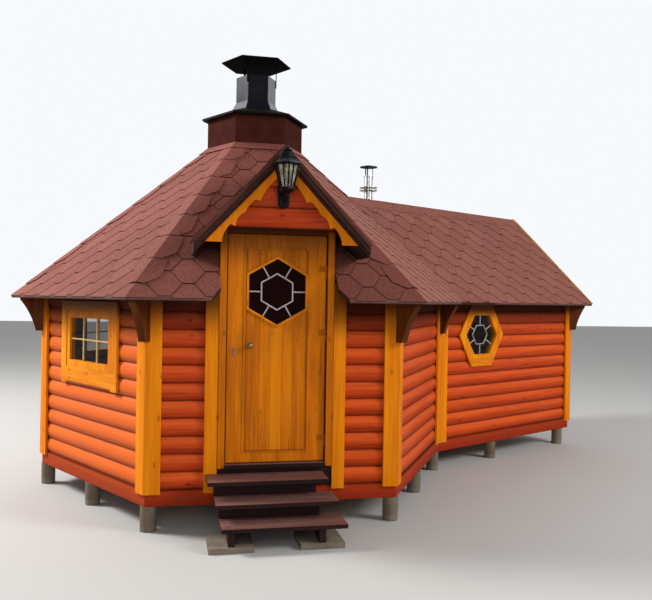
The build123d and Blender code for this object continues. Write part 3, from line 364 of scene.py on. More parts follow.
yellow_tones = (0.52, 0.122, 0.0008), (0.66, 0.176, 0.001), (0.78, 0.248, 0.003)
yellow = planed("yellow stained boards", *yellow_tones, shade=painted_eaves_shade)
dress(yellow, "corner_boards", "door_casing")
jamb_tones = (0.38, 0.085, 0.0008), (0.50, 0.125, 0.001), (0.60, 0.175, 0.002)
jambs = planed("frame boards", *jamb_tones, shade=painted_frame_shade)
dress(jambs, "door_frame")
barge = planed("barge boards", (0.46, 0.100, 0.0008), (0.58, 0.145, 0.001), (0.70, 0.205, 0.002))
dress(barge, "porch_barge_boards", "extension_barge_boards")
# Painted shade: the brackets stand in the eaves' shade, so their boards are made near
# black-brown.
bracket_shade_tones = (0.055, 0.012, 0.002), (0.085, 0.020, 0.003), (0.13, 0.034, 0.004)
brackets = planed("bracket boards in painted shade", *bracket_shade_tones)
dress(brackets, "eaves_brackets")


def above_and_below(place):
    """1 on the boards over and under the windows, which lie flat."""
    height = place.dot((0, 0, 1))
    return (height > 1.585).math("MAXIMUM", height < 1.115)


def painted_shade_over_windows(place):
    """Painted shade: darker towards the eaves, which come down to the top of the casings and
    shade them.
    """
    return place.dot((0, 0, 1)).between(1.46, 1.66) * 0.93


window_tones = (0.50, 0.125, 0.001), (0.66, 0.19, 0.002), (0.80, 0.29, 0.006)
casings = planed("window casings", *window_tones, flat=above_and_below, shade=painted_shade_over_windows)
dress(casings, "window_casings", "window_sashes")
inside = planed("plain inside boards", (0.40, 0.22, 0.09), (0.50, 0.30, 0.14), (0.58, 0.37, 0.19))
dress(inside, "floor_boards", "wall_plates", "corner_posts")
# Painted shade: the soffit and the cheeks lie in the porch roof's shade, so their boards are made
# near black.
soffit_shade_tones = (0.035, 0.009, 0.003), (0.050, 0.013, 0.004), (0.070, 0.020, 0.006)
shaded = planed("soffit boards in painted shade", *soffit_shade_tones)
dress(shaded, "porch_soffit", "porch_cheeks")

# Gable of the porch: three more half-round boards with the walls' red stain, cut to the slopes
# and nailed to the roof's edge, behind the scalloped barge boards.
gable, surface, place = new_finish("gable boards", Specular_IOR_Level=0.10)
gable_foot, gable_pitch = 2.228, 0.148
run, deep, height = place.xyz()
course = (height - gable_foot) / gable_pitch
index = course.math("FLOOR")
streaks, bands, knots = grain(place, run, height, index * 3.7 + 5.2)
red = red_stain(streaks, bands).layers(
    ((0.11, 0.012, 0.004), knots * 0.75),
    ((0.05, 0.006, 0.002), course.to_joint().between(0.09, 0.0) * 0.8),
    # Painted shade: the whole gable is darkened by about a third, for the shade under the porch
    # roof.
    ((0.06, 0.005, 0.001), 0.34),
)
connect(surface, (streaks * 0.5, 0.0015, 0.35), Base_Color=red, Roughness=0.36 + streaks * 0.16)
dress(gable, "porch_gable")

# Entry door: a leaf with stiles and rails and a field of upright boards, the middle one paler,
# stained yellow like the frame. A hexagonal pane with lead bars sits in its upper half.
door_boards, surface, place = new_finish("door boards", Specular_IOR_Level=0.08)
board_width, field_half, rail_top, field_top = 0.087, 0.236, 0.575, 2.083
run, deep, height = place.xyz()
from_middle = (run + 0.002).math("ABSOLUTE")
board = (run + board_width / 2 + 0.002) / board_width
number = board.math("FLOOR")
field = (from_middle < field_half) * (height > rail_top) * (height < field_top)
lot = number.node("TexWhiteNoise", {"noise_dimensions": "1D"}, {"W": number})
streaks, bands, knots = grain(place, height, run, number * field)
joint = board.to_joint().between(0.035, 0.0) * field
line = (height > rail_top - 0.010) * (height < rail_top + 0.005) * (run.math("ABSOLUTE") < 0.24)
sash = ((from_middle < field_half) - (from_middle < field_half - 0.010)) * field
sash = sash.math("MAXIMUM", line)
# Painted shade: dark in a narrow rim at the sides and foot of the leaf, where it sits back in the
# frame, and towards the top, under the porch.
rim = run.math("ABSOLUTE").between(0.366, 0.374).math("MAXIMUM", height.between(0.496, 0.486))
painted_porch_shade = height.between(1.88, 2.19)
age = place.point(run * 3.1, height * 1.2, 4.0).noise(1.0, 4, 0.6)
stops = (0.28, (0.40, 0.090, 0.0006)), (0.5, (0.55, 0.138, 0.0008)), (0.72, (0.66, 0.185, 0.0015))
colour = bands.ramp(*stops).layers(
    ((0.74, 0.225, 0.002), streaks.between(0.50, 0.68) * 0.5),
    ((0.27, 0.052, 0.0006), streaks.between(0.46, 0.30) * 0.65),
    ((0.30, 0.075, 0.001), age.between(0.50, 0.70) * 0.45),
    ((0.84, 0.265, 0.002), (number.math("ABSOLUTE") < 0.5) * field * 0.5),
    ((0.38, 0.088, 0.001), lot * field * 0.25),
    ((0.16, 0.036, 0.002), knots * 0.25),
    ((0.16, 0.036, 0.003), joint * 0.5),
    ((0.20, 0.046, 0.002), sash * 0.55),
    ((0.040, 0.007, 0.001), (rim * 0.72).math("MAXIMUM", painted_porch_shade * 0.62)),
)
relief = streaks * 0.4 - joint * 1.5
connect(surface, (relief, 0.002, 0.4), Base_Color=colour, Roughness=0.44 + streaks * 0.18)
dress(door_boards, "door_leaf")


def begin(name, kind, **how):
    """Adds a primitive with nothing else selected, and names it."""
    bpy.ops.object.select_all(action="DESELECT")
    getattr(bpy.ops.mesh, f"primitive_{kind}_add")(**how)
    piece = bpy.context.object
    piece.name = piece.data.name = name
    bpy.ops.object.transform_apply(location=True, rotation=True, scale=True)
    bpy.ops.object.mode_set(mode="EDIT")
    return piece


def choose(piece, kind, wanted):
    """In edit mode, selects the faces, edges or verts of the piece that are wanted."""
    mesh = bmesh.from_edit_mesh(piece.data)
    modes = [kind == mode for mode in ("verts", "edges", "faces")]
    bpy.context.tool_settings.mesh_select_mode = modes
    bpy.ops.mesh.select_all(action="DESELECT")
    for part in getattr(mesh, kind):
        part.select_set(bool(wanted(part)))
    mesh.select_flush_mode()
    bmesh.update_edit_mesh(piece.data)


def take_all():
    """In edit mode, selects the whole piece."""
    bpy.ops.mesh.select_all(action="SELECT")


def shift(*step):
    """In edit mode, moves what is selected."""
    bpy.ops.transform.translate(value=step)


def stretch(*shares, **about):
    """In edit mode, resizes what is selected, by a share along each axis."""
    bpy.ops.transform.resize(value=shares, **about)


def extrude(*step):
    """In edit mode, pulls the selected faces out by a step, with new sides behind them."""
    bpy.ops.mesh.extrude_region_move(TRANSFORM_OT_translate={"value": step})


def turn_outwards():
    """In edit mode, makes all the faces of the piece look outwards."""
    take_all()
    bpy.ops.mesh.normals_make_consistent(inside=False)


def done(piece, finish, bevel=0.0, segments=2):
    """Leaves edit mode, rounds the edges a little and puts the finish on."""
    bpy.ops.object.mode_set(mode="OBJECT")
    if bevel:
        rounding = piece.modifiers.new("rounding", "BEVEL")
        rounding.width, rounding.segments, rounding.limit_method = bevel, segments, "ANGLE"
        bpy.ops.object.modifier_apply(modifier=rounding.name)
    piece.data.materials.append(finish)
    return piece


def copied(piece, place):
    """A copy with its own mesh, its corners moved by the matrix."""
    twin = piece.copy()
    twin.data = piece.data.copy()
    twin.data.transform(place)
    bpy.context.collection.objects.link(twin)
    return twin


def joined(name, pieces):
    """Makes one piece of several."""
    bpy.ops.object.select_all(action="DESELECT")
    for piece in pieces:
        piece.select_set(True)
    bpy.context.view_layer.objects.active = pieces[0]
    bpy.ops.object.join()
    whole = bpy.context.object
    whole.name = whole.data.name = name
    return whole


# Door glass and its bars: one hexagonal pane in a planed moulding, with came bars of grey lead
# that make a smaller hexagon and six spokes, held on both faces of the glass.
low, high = map(Vector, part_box("door_glass"))
pane = (low + high) / 2
lead, surface, place = new_finish("lead came", Metallic=0.35)
blotch = place.noise(90, 3)
dull = blotch.ramp((0.3, (0.30, 0.25, 0.24)), (0.7, (0.50, 0.43, 0.42)))
connect(surface, (blotch, 0.001, 0.2), Base_Color=dull, Roughness=0.42 + blotch * 0.25)
hexagon = {"vertices": 6, "rotation": (0, 0, radians(30))}


def hexagon_ring(name, shape, width, depth, finish, bevel):
    """A hexagonal ring in the plane y = 0; its shape is half its width, level edge and height."""
    middle, end, rise = shape
    ring = begin(name, "cylinder", radius=1, depth=depth, **hexagon)
    take_all()
    stretch(middle, rise / sin(radians(60)), 1)
    choose(ring, "verts", lambda corner: abs(corner.co.x) < middle * 0.9)
    stretch(end / middle * 2, 1, 1)
    choose(ring, "faces", lambda face: abs(face.normal.z) > 0.9)
    bpy.ops.mesh.inset(thickness=width)
    bpy.ops.mesh.bridge_edge_loops()
    turn_outwards()
    done(ring, finish, bevel)
    ring.data.transform(Matrix.Rotation(radians(90), 4, "X"))
    return ring


on_point = Matrix.Rotation(radians(90), 4, "Y")
came = hexagon_ring("door_came", (0.1435, 0.07175, 0.1243), 0.0115, 0.016, lead, 0.003)
came.data.transform(on_point)
spoke = begin("spoke", "cube", scale=(0.0054, 0.008, 0.0445), location=(0, 0, 0.170))
choose(spoke, "faces", lambda face: abs(face.normal.z) > 0.9)
bpy.ops.mesh.inset(thickness=0.002)
done(spoke, lead, 0.003)
spokes = [copied(spoke, Matrix.Rotation(radians(30 + 60 * k), 4, "Y")) for k in range(6)]
bpy.data.objects.remove(spoke)
came = joined("door_came", [came, *spokes])
came.data.transform(Matrix.Translation(pane))
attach(came, "door")

trim_tones = (0.46, 0.112, 0.002), (0.60, 0.165, 0.003), (0.72, 0.24, 0.008)
trim, shape = planed("door moulding", *trim_tones), (0.270, 0.135, 0.2339)
moulding = hexagon_ring("door_pane_moulding", shape, 0.019, 0.012, trim, 0.004)
leaf_face = -1.6445
moulding.data.transform(Matrix.Translation((pane.x, leaf_face, pane.z)) @ on_point)
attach(moulding, "door")

# Glass: clear panes in the windows, which the dark rooms behind make look dark, and in the door a
# nearly opaque dark pane, painted shade for the room behind it. Both are a little wavy and hazy.
def glass(name, colour, rough, clear, **fixed):
    """Wavy glass with its lowest roughness and alpha."""
    finish, surface, place = new_finish(name, IOR=1.5, Base_Color=(*colour, 1), **fixed)
    haze, waves = place.noise(3.5, 3), place.noise(2.2, 1)
    rough, clear = rough + haze * 0.06, clear + haze * 0.12
    connect(surface, (waves, 0.002, 0.25), Roughness=rough, Alpha=clear)
    return finish


glazing = glass("window glass", (0.010, 0.013, 0.012), 0.03, 0.14)
dress(glazing, "window_glass")
painted_dark_door_pane = glass("door glass", (0.010, 0.002, 0.0015), 0.05, 0.82, Specular_IOR_Level=0.06)
dress(painted_dark_door_pane, "door_glass")

# Window bars: each square window has three by two panes, made by thin pale bars on both faces
# of the glass; the side window of the annexe has lead bars instead.
light_pine = planed("window bars", (0.46, 0.24, 0.08), (0.60, 0.36, 0.15), (0.74, 0.50, 0.26))
bar = begin("bar", "cube", size=1)
choose(bar, "faces", lambda face: abs(face.normal.y) > 0.9)
bpy.ops.mesh.inset(thickness=0.2)
stretch(0.8, 1, 1)
done(bar, light_pine)


def strut(start, end, normal, width, depth):
    """The matrix that lays the unit bar from start to end, its depth along the normal."""
    along = Vector(end) - Vector(start)
    side = Vector(normal).cross(along).normalized()
    deep = Vector(normal).normalized() * depth
    turn = Matrix((side * width, deep, along)).transposed().to_4x4()
    return Matrix.Translation((Vector(start) + Vector(end)) / 2) @ turn


def out(angle):
    """The level direction at an angle, counted from +X."""
    return Vector((cos(radians(angle)), sin(radians(angle)), 0))


wall_distance = 1.6281
pane_half_height, pane_half_width, window_height = 0.1788, 0.3588, 1.35
for side, name in ((210, "left_window_bars"), (150, "back_window_bars")):
    normal, along = out(side), out(side + 90)
    centre = normal * (wall_distance + 0.011) + Vector((0, 0, window_height))
    tall, wide = Vector((0, 0, pane_half_height)), along * pane_half_width
    laid = [copied(bar, strut(centre - wide, centre + wide, normal, 0.011, 0.015))]
    for place in (-0.125, 0.125):
        spot = centre + along * place
        laid.append(copied(bar, strut(spot - tall, spot + tall, normal, 0.010, 0.016)))
    bars = joined(name, laid)
    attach(bars, "hut")

normal, along = out(300), out(30)
past_wall, annexe_half, side_height = 0.710, 0.940, 1.363
centre = along * (wall_distance + past_wall) + normal * (annexe_half + 0.005)
centre += Vector((0, 0, side_height))
half_width, half_edge, half_height = 0.269, 0.131, 0.208
shape = half_width / 2, half_edge / 2, half_height / 2
side_came = hexagon_ring("side_window_came", shape, 0.009, 0.014, lead, 0.003)
side_came.data.transform(Matrix.Translation(centre) @ Matrix.Rotation(radians(30), 4, "Z"))
corners = [(half_width, 0), (half_edge, half_height), (-half_edge, half_height)]
corners += [(-x, -z) for x, z in corners]
laid = [side_came]
for first, second in zip(corners, corners[1:] + corners[:1]):
    arm = along * (first[0] + second[0]) / 2 + Vector((0, 0, (first[1] + second[1]) / 2))
    inner, outer = centre + arm * 0.49, centre + arm * 0.995
    laid.append(copied(bar, strut(inner, outer, normal, 0.010, 0.013)))
    laid[-1].data.materials[0] = lead
side_came = joined("side_window_came", laid)
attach(side_came, "hut")
bpy.data.objects.remove(bar)

# Metal of the door: a knob of aged brass, hinges that were stained over with the boards, and
# the small worn plate of the latch beside the knob.
def aged_metal(name, dark, light, metallic, gloss=0.5):
    """Metal with rubbed and dull patches."""
    finish, surface, place = new_finish(name, Metallic=metallic, Specular_IOR_Level=gloss)
    rub = place.noise(60, 4, 0.6)
    tone = rub.ramp((0.3, dark), (0.7, light))
    connect(surface, (rub, 0.0006, 0.2), Base_Color=tone, Roughness=0.30 + rub * 0.25)
    return finish


brass = aged_metal("aged brass", (0.14, 0.085, 0.035), (0.44, 0.29, 0.12), 0.8, 0.3)
dark, light = (0.30, 0.072, 0.0008), (0.42, 0.108, 0.0014)
stained_hinges = aged_metal("stained hinges", dark, light, 0.0, 0.06)
latch_metal = aged_metal("worn latch plate", (0.24, 0.075, 0.03), (0.42, 0.17, 0.08), 0.3)
dress(brass, "door_knob")
dress(stained_hinges, "door_hinges", "frame_hinges")
place, size = (-0.3195, -1.6418, 1.310), (0.011, 0.0012, 0.036)
latch = begin("latch_plate", "cube", scale=size, location=place)
choose(latch, "faces", lambda face: face.normal.y < -0.9)
bpy.ops.mesh.inset(thickness=0.004)
extrude(0, -0.0015, 0)
done(latch, latch_metal, 0.0008)
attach(latch, "door")

# Roof: boarded slopes with bitumen shingles cut as long hexagons and nailed in rows, each row
# lying over the one below; sand grains on them, folded shingles over the hips and ridges.
row_step, column_step = 0.136, 0.1665
shingles, surface, place = new_finish("bitumen shingles", Specular_IOR_Level=0.10)
spot = Wire(surface.id_data.nodes.new("ShaderNodeAttribute").outputs["Vector"])
spot.socket.node.attribute_name = "spot"
across, up, tone = spot.xyz()
tab_reach = 0.1085
# Darker band along each tab's upper outline, close under the lower edges of the tabs that lap it:
# partly the shadow band printed on such shingles, partly painted shade.
slant = across.math("ABSOLUTE") * 0.855 + (up - row_step) * 0.519
under = (tab_reach - slant).math("MINIMUM", 2 * row_step - up)
grit = place.noise(420, 2, 0.7)
flecks = place.noise(170, 2, 0.75)
patch = place.noise(2.4, 4, 0.6)
mottle = place.noise(70, 3, 0.75)
tones = (0.0, (0.185, 0.055, 0.041)), (0.5, (0.203, 0.062, 0.047)), (1.0, (0.232, 0.074, 0.057))
face = true_normal(surface)
# The cut edges are near black: the bitumen shows there, and painted shade darkens them further.
cut_edge_and_painted_shade = face.dot((0, 0, 1)) < 0.45
# Painted shade: the shingles on the front slope, which face away from the strongest lamp, are
# tinted darker and redder.
front = face.dot((0, -0.683, 0.731)).between(0.96, 0.99)
# Painted light: the slopes that face front-right are tinted a paler pink, as if more lit and
# catching sheen from the sky.
painted_light_on_right_facets = face.dot((0.591, -0.342, 0.731)).between(0.89, 0.99)
brown = tone.ramp(*tones).layers(
    ((0.34, 0.17, 0.13), grit.between(0.52, 0.72) * 0.5),
    ((0.06, 0.02, 0.016), grit.between(0.48, 0.30) * 0.5),
    ((0.40, 0.24, 0.19), flecks.between(0.58, 0.74) * 0.48),
    ((0.32, 0.125, 0.100), mottle.between(0.52, 0.68) * 0.62),
    ((0.10, 0.028, 0.020), mottle.between(0.48, 0.34) * 0.60),
    ((0.14, 0.05, 0.04), patch.between(0.45, 0.75) * 0.35),
    ((0.070, 0.009, 0.004), front * 0.27),
    ((0.42, 0.175, 0.130), painted_light_on_right_facets * (0.14 + mottle.between(0.40, 0.60) * 0.34)),
    ((0.034, 0.011, 0.008), under.between(0.015, 0.002) * 0.78),
    ((0.012, 0.005, 0.004), cut_edge_and_painted_shade * 0.9),
)
relief = grit + flecks * 0.6
connect(surface, (relief, 0.002, 0.55), Base_Color=brown, Roughness=0.80 + grit * 0.15)

decking, surface, place = new_finish("roof boards and underlay", Specular_IOR_Level=0.2)
face = true_normal(surface).dot((0, 0, 1))
grit = place.noise(420, 2, 0.7)
planks = place.noise(26, 3)
top = grit.ramp((0.3, (0.15, 0.047, 0.035)), (0.7, (0.22, 0.074, 0.057)))
# Painted shade: the undersides of the roof boards are made near black.
below = planks.ramp((0.3, (0.016, 0.005, 0.002)), (0.7, (0.030, 0.010, 0.003)))
edge = planks.ramp((0.3, (0.022, 0.006, 0.004)), (0.7, (0.042, 0.012, 0.008)))
mix = edge.tint(top, face > 0.3).tint(below, face < -0.3)
connect(surface, (grit, 0.0015, 0.4), Base_Color=mix, Roughness=0.75 + grit * 0.2)
dress(decking, "hut_roof", "extension_roof", "porch_roof")

hut_eave, hut_pitch = 1.8931, radians(43.1)
annexe_eave, annexe_pitch, annexe_verge = 1.151, radians(43.9), 4.328
porch_eave, porch_pitch, porch_front, porch_top = 0.640, radians(47.1), -1.950, 2.813
eave_height, porch_eave_height = 1.715, porch_top - porch_eave * tan(porch_pitch)


class Slope:
    """A plane of roof that falls towards an angle, from its eave's distance and height."""

    def __init__(self, angle, eave, pitch, height):
        self.angle, self.eave, self.pitch, self.height = angle, eave, pitch, height
        self.steep = tan(pitch)
        self.across = Vector((-sin(radians(angle)), cos(radians(angle)), 0))
        self.upward = -out(angle) * cos(pitch) + Vector((0, 0, sin(pitch)))
        self.foot = out(angle) * eave + Vector((0, 0, height))

    def frame(self, across, up, lift):
        """The matrix that lays a flat shape on the slope at that place."""
        normal = self.across.cross(self.upward)
        turn = Matrix((self.across, self.upward, normal)).transposed().to_4x4()
        raised = turn.to_3x3() @ Vector((0, 0, lift))
        spot = self.foot + self.across * across + self.upward * up + raised
        return Matrix.Translation(spot) @ turn

    def above(self, other):
        """(point, normal) of the upright plane past which this slope runs under the other."""
        flat = out(self.angle) * self.steep - out(other.angle) * other.steep
        share = self.height - other.height + self.steep * self.eave - other.steep * other.eave
        return flat * (share / flat.length_squared), flat


hut = {angle: Slope(angle, hut_eave, hut_pitch, eave_height) for angle in range(30, 390, 60)}
annexe = {angle: Slope(angle, annexe_eave, annexe_pitch, eave_height) for angle in (300, 120)}
porch = {angle: Slope(angle, porch_eave, porch_pitch, porch_eave_height) for angle in (0, 180)}

tab_half_width, tab_half_edge = 0.125, 0.042
tab = begin("shingle", "circle", radius=tab_half_width, fill_type="NGON", **hexagon)
take_all()
stretch(1, row_step / (tab_half_width * sin(radians(60))), 1)
choose(tab, "verts", lambda corner: abs(corner.co.x) < 0.1)
stretch(tab_half_edge / (tab_half_width / 2), 1, 1)
take_all()
shift(0, row_step, 0)
extrude(0, 0, 0.0005)
for below in (0.2, 0.1):
    choose(tab, "verts", lambda corner: corner.co.z > 0.0002 and corner.co.y < below)
    shift(0, 0, 0.0024)
turn_outwards()
done(tab, shingles, 0.0008, 1)


def mark(piece, spot=None):
    """Gives each corner its spot on the tab, which the finish of the shingles reads."""
    spots = piece.data.attributes.new("spot", "FLOAT_VECTOR", "POINT").data
    for corner in piece.data.vertices:
        spots[corner.index].vector = spot or corner.co


def set_tone(piece, *numbers):
    """Makes one tab paler or darker, by a lot from 0 to 1 that is always the same."""
    mixed = sum(number * step for number, step in zip(numbers, (12.9898, 78.233, 37.719)))
    mixed = sin(mixed) * 43758.5453
    for spot in piece.data.attributes["spot"].data:
        spot.vector.z = mixed - floor(mixed)


mark(tab)


def shingled(name, slope, size, limits):
    """Rows of shingles over a slope's (half width, length), cut off at the planes in limits."""
    laid, (half_width, length), spare = [], size, 0.2
    last = int(half_width / column_step) + 1
    for row in range(-1, int(length / row_step) + 1):
        for column in range(-last, last + 1):
            if (row + column) % 2 == 0:
                continue
            across, up = column * column_step, row * row_step
            middle = slope.foot + slope.across * across + slope.upward * (up + row_step)
            if any((middle - point).dot(normal.normalized()) > spare for point, normal in limits):
                continue
            one = copied(tab, slope.frame(across, up + 0.008, 0.0005))
            set_tone(one, row, column, slope.angle)
            laid.append(one)
    piece = joined(name, laid)
    bpy.ops.object.mode_set(mode="EDIT")
    for point, normal in [*limits, (slope.foot - slope.upward * 0.012, -slope.upward)]:
        take_all()
        bpy.ops.mesh.bisect(plane_co=point, plane_no=normal, use_fill=True, clear_outer=True)
    bpy.ops.object.mode_set(mode="OBJECT")
    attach(piece, "hut")


middle, collar_cut = Vector((0, 0, 0)), 0.405
facet_size, bay_size, annexe_size, porch_size = (1.1, 2.06), (0.6, 2.06), (4.4, 1.6), (2.1, 0.95)
aside, back = [Matrix.Rotation(radians(turn), 3, "Z") for turn in (30, -30)]
for angle, slope in hut.items():
    limits = [(middle, aside @ slope.across), (middle, back @ -slope.across)]
    limits.append((out(angle) * collar_cut, -out(angle)))
    name = f"shingles_{angle}"
    if angle == 270:
        porch_half, notch = 0.436, 0.501
        for side, part in ((-1, "left"), (1, "right")):
            edge = (Vector((porch_half * side, 0, 0)), Vector((-side, 0, 0)))
            corner = (Vector((notch * side, -hut_eave, 0)), Vector((-0.080 * side, -0.065, 0)))
            shingled(f"{name}_{part}", slope, facet_size, [*limits, edge, corner])
        for side, part in ((1, "middle_right"), (-1, "middle_left")):
            edge = (Vector((porch_half * side, 0, 0)), Vector((side, 0, 0)))
            ridge = (middle, Vector((-side, 0, 0)))
            cuts = [*limits, edge, ridge, slope.above(porch[0 if side > 0 else 180])]
            shingled(f"{name}_{part}", slope, bay_size, cuts)
    elif angle in (330, 90):
        cuts = [*limits, slope.above(annexe[300 if angle == 330 else 120])]
        shingled(name, slope, facet_size, cuts)
    elif angle == 30:
        for other, part in ((annexe[300], "front"), (annexe[120], "back")):
            cuts = [*limits, (middle, -out(other.angle)), slope.above(other)]
            shingled(f"{name}_{part}", slope, facet_size, cuts)
    else:
        shingled(name, slope, facet_size, limits)
for angle, slope in annexe.items():
    for facet in (30, 330 if angle == 300 else 90):
        hip = out(0 if angle == 300 else 60)
        cut = Vector((-hip.y, hip.x, 0))
        if cut.dot(out(facet)) > 0:
            cut = -cut
        cuts = [(out(30) * annexe_verge, out(30)), (middle, cut)]
        cuts += [slope.above(hut[facet]), (middle, -out(angle))]
        shingled(f"shingles_annexe_{angle}_{facet}", slope, annexe_size, cuts)
for angle, slope in porch.items():
    front = (Vector((0, porch_front, 0)), Vector((0, -1, 0)))
    cuts = [front, slope.above(hut[270]), (middle, -out(angle))]
    shingled(f"shingles_porch_{angle}", slope, porch_size, cuts)
bpy.data.objects.remove(tab)

# Hip and ridge caps: tabs of the same bitumen sheet, folded over the line and nailed down on
# both sides, each lapping the one below.
cap = begin("cap", "grid", x_subdivisions=4, y_subdivisions=3, size=1)
take_all()
stretch(0.26, 0.31, 1)
shift(0, 0.155, 0)
for near, share in ((0.0, 0.44), (0.103, 0.97), (0.207, 0.93), (0.31, 0.80)):
    choose(cap, "verts", lambda corner: abs(corner.co.y - near) < 0.02)
    stretch(share, 1, 1)
take_all()
extrude(0, 0, 0.003)
turn_outwards()
done(cap, shingles, 0.0008, 1)
mark(cap, (0, 0.05, 0))


def capped(name, foot, along, sideways, fall, exposure, count):
    """A row of caps from the foot up the line; fall is how steeply they fold down each side."""
    normal = sideways.cross(along)
    laid = []
    for number in range(count):
        one = copied(cap, Matrix.Identity(4))
        for corner in one.data.vertices:
            x, y, z = corner.co
            z += 0.004 * (1 - y / 0.31) - sqrt(x * x + 0.00012) * fall + 0.006
            corner.co = foot + along * (y + number * exposure) + sideways * x + normal * z
        set_tone(one, number, foot.x * 10, foot.y * 10)
        laid.append(one)
    whole = joined(name, laid)
    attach(whole, "hut")


hip_rise = tan(hut_pitch) * cos(radians(30))
apron_foot, collar_side = 0.462, 0.394
for angle in range(0, 360, 60):
    reach = hut_eave / cos(radians(30))
    along = (-out(angle) + Vector((0, 0, hip_rise))).normalized()
    sideways = out(angle + 90)
    plane = out(angle + 30) * sin(hut_pitch) + Vector((0, 0, cos(hut_pitch)))
    fall = abs(plane.dot(sideways) / plane.dot(sideways.cross(along)))
    start, count = (1.15, 3) if angle in (0, 60) else (2.06, 7)
    foot = out(angle) * start + Vector((0, 0, eave_height + (reach - start) * hip_rise))
    capped(f"hip_caps_{angle}", foot, along, sideways, fall, 0.2957, count)
    bpy.ops.object.mode_set(mode="EDIT")
    take_all()
    edge = out(angle) * apron_foot
    bpy.ops.mesh.bisect(plane_co=edge, plane_no=out(angle), use_fill=True, clear_inner=True)
    bpy.ops.object.mode_set(mode="OBJECT")
ridge_height = eave_height + annexe_eave * tan(annexe_pitch)
foot = out(30) * annexe_verge + Vector((0, 0, ridge_height))
capped("annexe_ridge_caps", foot, -out(30), out(120), tan(annexe_pitch), 0.27, 13)
foot = Vector((0, porch_front, porch_top))
capped("porch_ridge_caps", foot, Vector((0, 1, 0)), Vector((1, 0, 0)), tan(porch_pitch), 0.27, 5)
bpy.data.objects.remove(cap)

# Apron: one strip of the roofing laid round the foot of the smoke collar, mitred at the hips
# and pressed up against the sheet, so that rain runs off it on to the topmost shingles.
apron = begin("collar_apron", "circle", radius=1, fill_type="NOTHING", **hexagon)
take_all()
apron_radius = apron_foot / cos(radians(30))
stretch(apron_radius, apron_radius, 1)
apron_height = eave_height + (hut_eave - apron_foot) * tan(hut_pitch) + 0.014
shift(0, 0, apron_height)
extrude(0, 0, (apron_foot - collar_side) * tan(hut_pitch))
narrowed = collar_side / apron_foot
stretch(narrowed, narrowed, 1, center_override=(0, 0, 0))
done(apron, shingles)
body = apron.modifiers.new("body", "SOLIDIFY")
body.thickness, body.offset = 0.004, -1
bpy.ops.object.modifier_apply(modifier=body.name)
mark(apron, (0, 0.05, 0.8))
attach(apron, "hut")

# Drip edges and verge trims: narrow folded strips along the eaves, and brown-red strips of the
# roofing folded over the front edges of the porch, nailed on the boards' ends. A thin yellow
# batten on the annexe's verge holds the shingles down.
def strip_finish(name, dark, light, sand, dull):
    """Folded roofing with a little sand on it."""
    finish, surface, place = new_finish(name, Specular_IOR_Level=0.10)
    grit = place.noise(420, 2, 0.7)
    tone = place.noise(5, 3).ramp((0.3, dark), (0.7, light))
    tone = tone.tint(sand, grit.between(0.52, 0.72) * 0.4)
    connect(surface, (grit, 0.001, 0.4), Base_Color=tone, Roughness=dull + grit * 0.2)
    return finish


folded = strip_finish(
    "folded strips", (0.085, 0.036, 0.028), (0.145, 0.068, 0.054), (0.30, 0.17, 0.13), 0.62
)
fold = begin("fold", "cube", size=1)
choose(fold, "faces", lambda face: abs(face.normal.y) > 0.9)
bpy.ops.mesh.inset(thickness=0.1)
done(fold, folded)
laid = []
hut_half, valley_cut = hut_eave * tan(radians(30)) + 0.002, 0.78
stretches = {30: [], 90: [(-valley_cut, hut_half)], 330: [(-hut_half, valley_cut)]}
stretches[270] = [(-hut_half, -0.503), (0.503, hut_half)]
for angle, slope in hut.items():
    skin = slope.foot + out(angle) * 0.002 - Vector((0, 0, 0.010))
    for first, last in stretches.get(angle, [(-hut_half, hut_half)]):
        start, end = skin + slope.across * first, skin + slope.across * last
        laid.append(copied(fold, strut(start, end, out(angle), 0.022, 0.004)))
for angle, slope in annexe.items():
    skin = slope.foot + out(angle) * 0.002 - Vector((0, 0, 0.010))
    start, end = skin + out(30) * 2.32, skin + out(30) * annexe_verge
    laid.append(copied(fold, strut(start, end, out(angle), 0.022, 0.004)))
edges = joined("drip_edges", laid)
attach(edges, "hut")
verge_finish = strip_finish(
    "porch verge strips", (0.055, 0.016, 0.012), (0.095, 0.030, 0.023), (0.17, 0.08, 0.06), 0.75
)
laid = []
verge_half, verge_top, verge_face = 0.642, 2.800, porch_front - 0.003
for side in (-1, 1):
    top = Vector((0, verge_face, verge_top))
    end = Vector((side * verge_half, verge_face, verge_top - verge_half * tan(porch_pitch)))
    laid.append(copied(fold, strut(top, end, (0, -1, 0), 0.024, 0.006)))
    laid[-1].data.materials[0] = verge_finish
trims = joined("porch_verge_trims", laid)
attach(trims, "hut")
laid = []
annexe_slant = annexe_eave / cos(annexe_pitch)
for angle, slope in annexe.items():
    reach = (annexe_verge - 0.006) * (1 if angle == 300 else -1)
    foot, top = slope.frame(reach, -0.008, 0.010), slope.frame(reach, annexe_slant + 0.008, 0.010)
    normal = foot.col[2].xyz
    laid.append(copied(fold, strut(foot.translation, top.translation, normal, 0.020, 0.012)))
    laid[-1].data.materials[0] = light_pine
strips = joined("annexe_verge_strips", laid)
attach(strips, "hut")
bpy.data.objects.remove(fold)

# Smoke outlet: a hexagonal collar of dark red sheet, folded at the corners, under a black cap,
# and above them a black flared duct and a hat on legs, all of painted sheet steel.
def sheet_metal(name, dark, light, dull, shine):
    """Painted sheet with faint clouds and paler specks."""
    finish, surface, place = new_finish(name, Specular_IOR_Level=shine)
    film = place.noise(7, 4, 0.6)
    specks = place.noise(90, 3, 0.6)
    dust = [part * 1.4 + more for part, more in zip(light, (0.006, 0.005, 0.004))]
    colour = film.ramp((0.3, dark), (0.7, light)).tint(dust, specks.between(0.58, 0.75) * 0.35)
    relief = film + specks * 0.1
    connect(surface, (relief, 0.004, 0.15), Base_Color=colour, Roughness=dull + film * 0.2)
    return finish


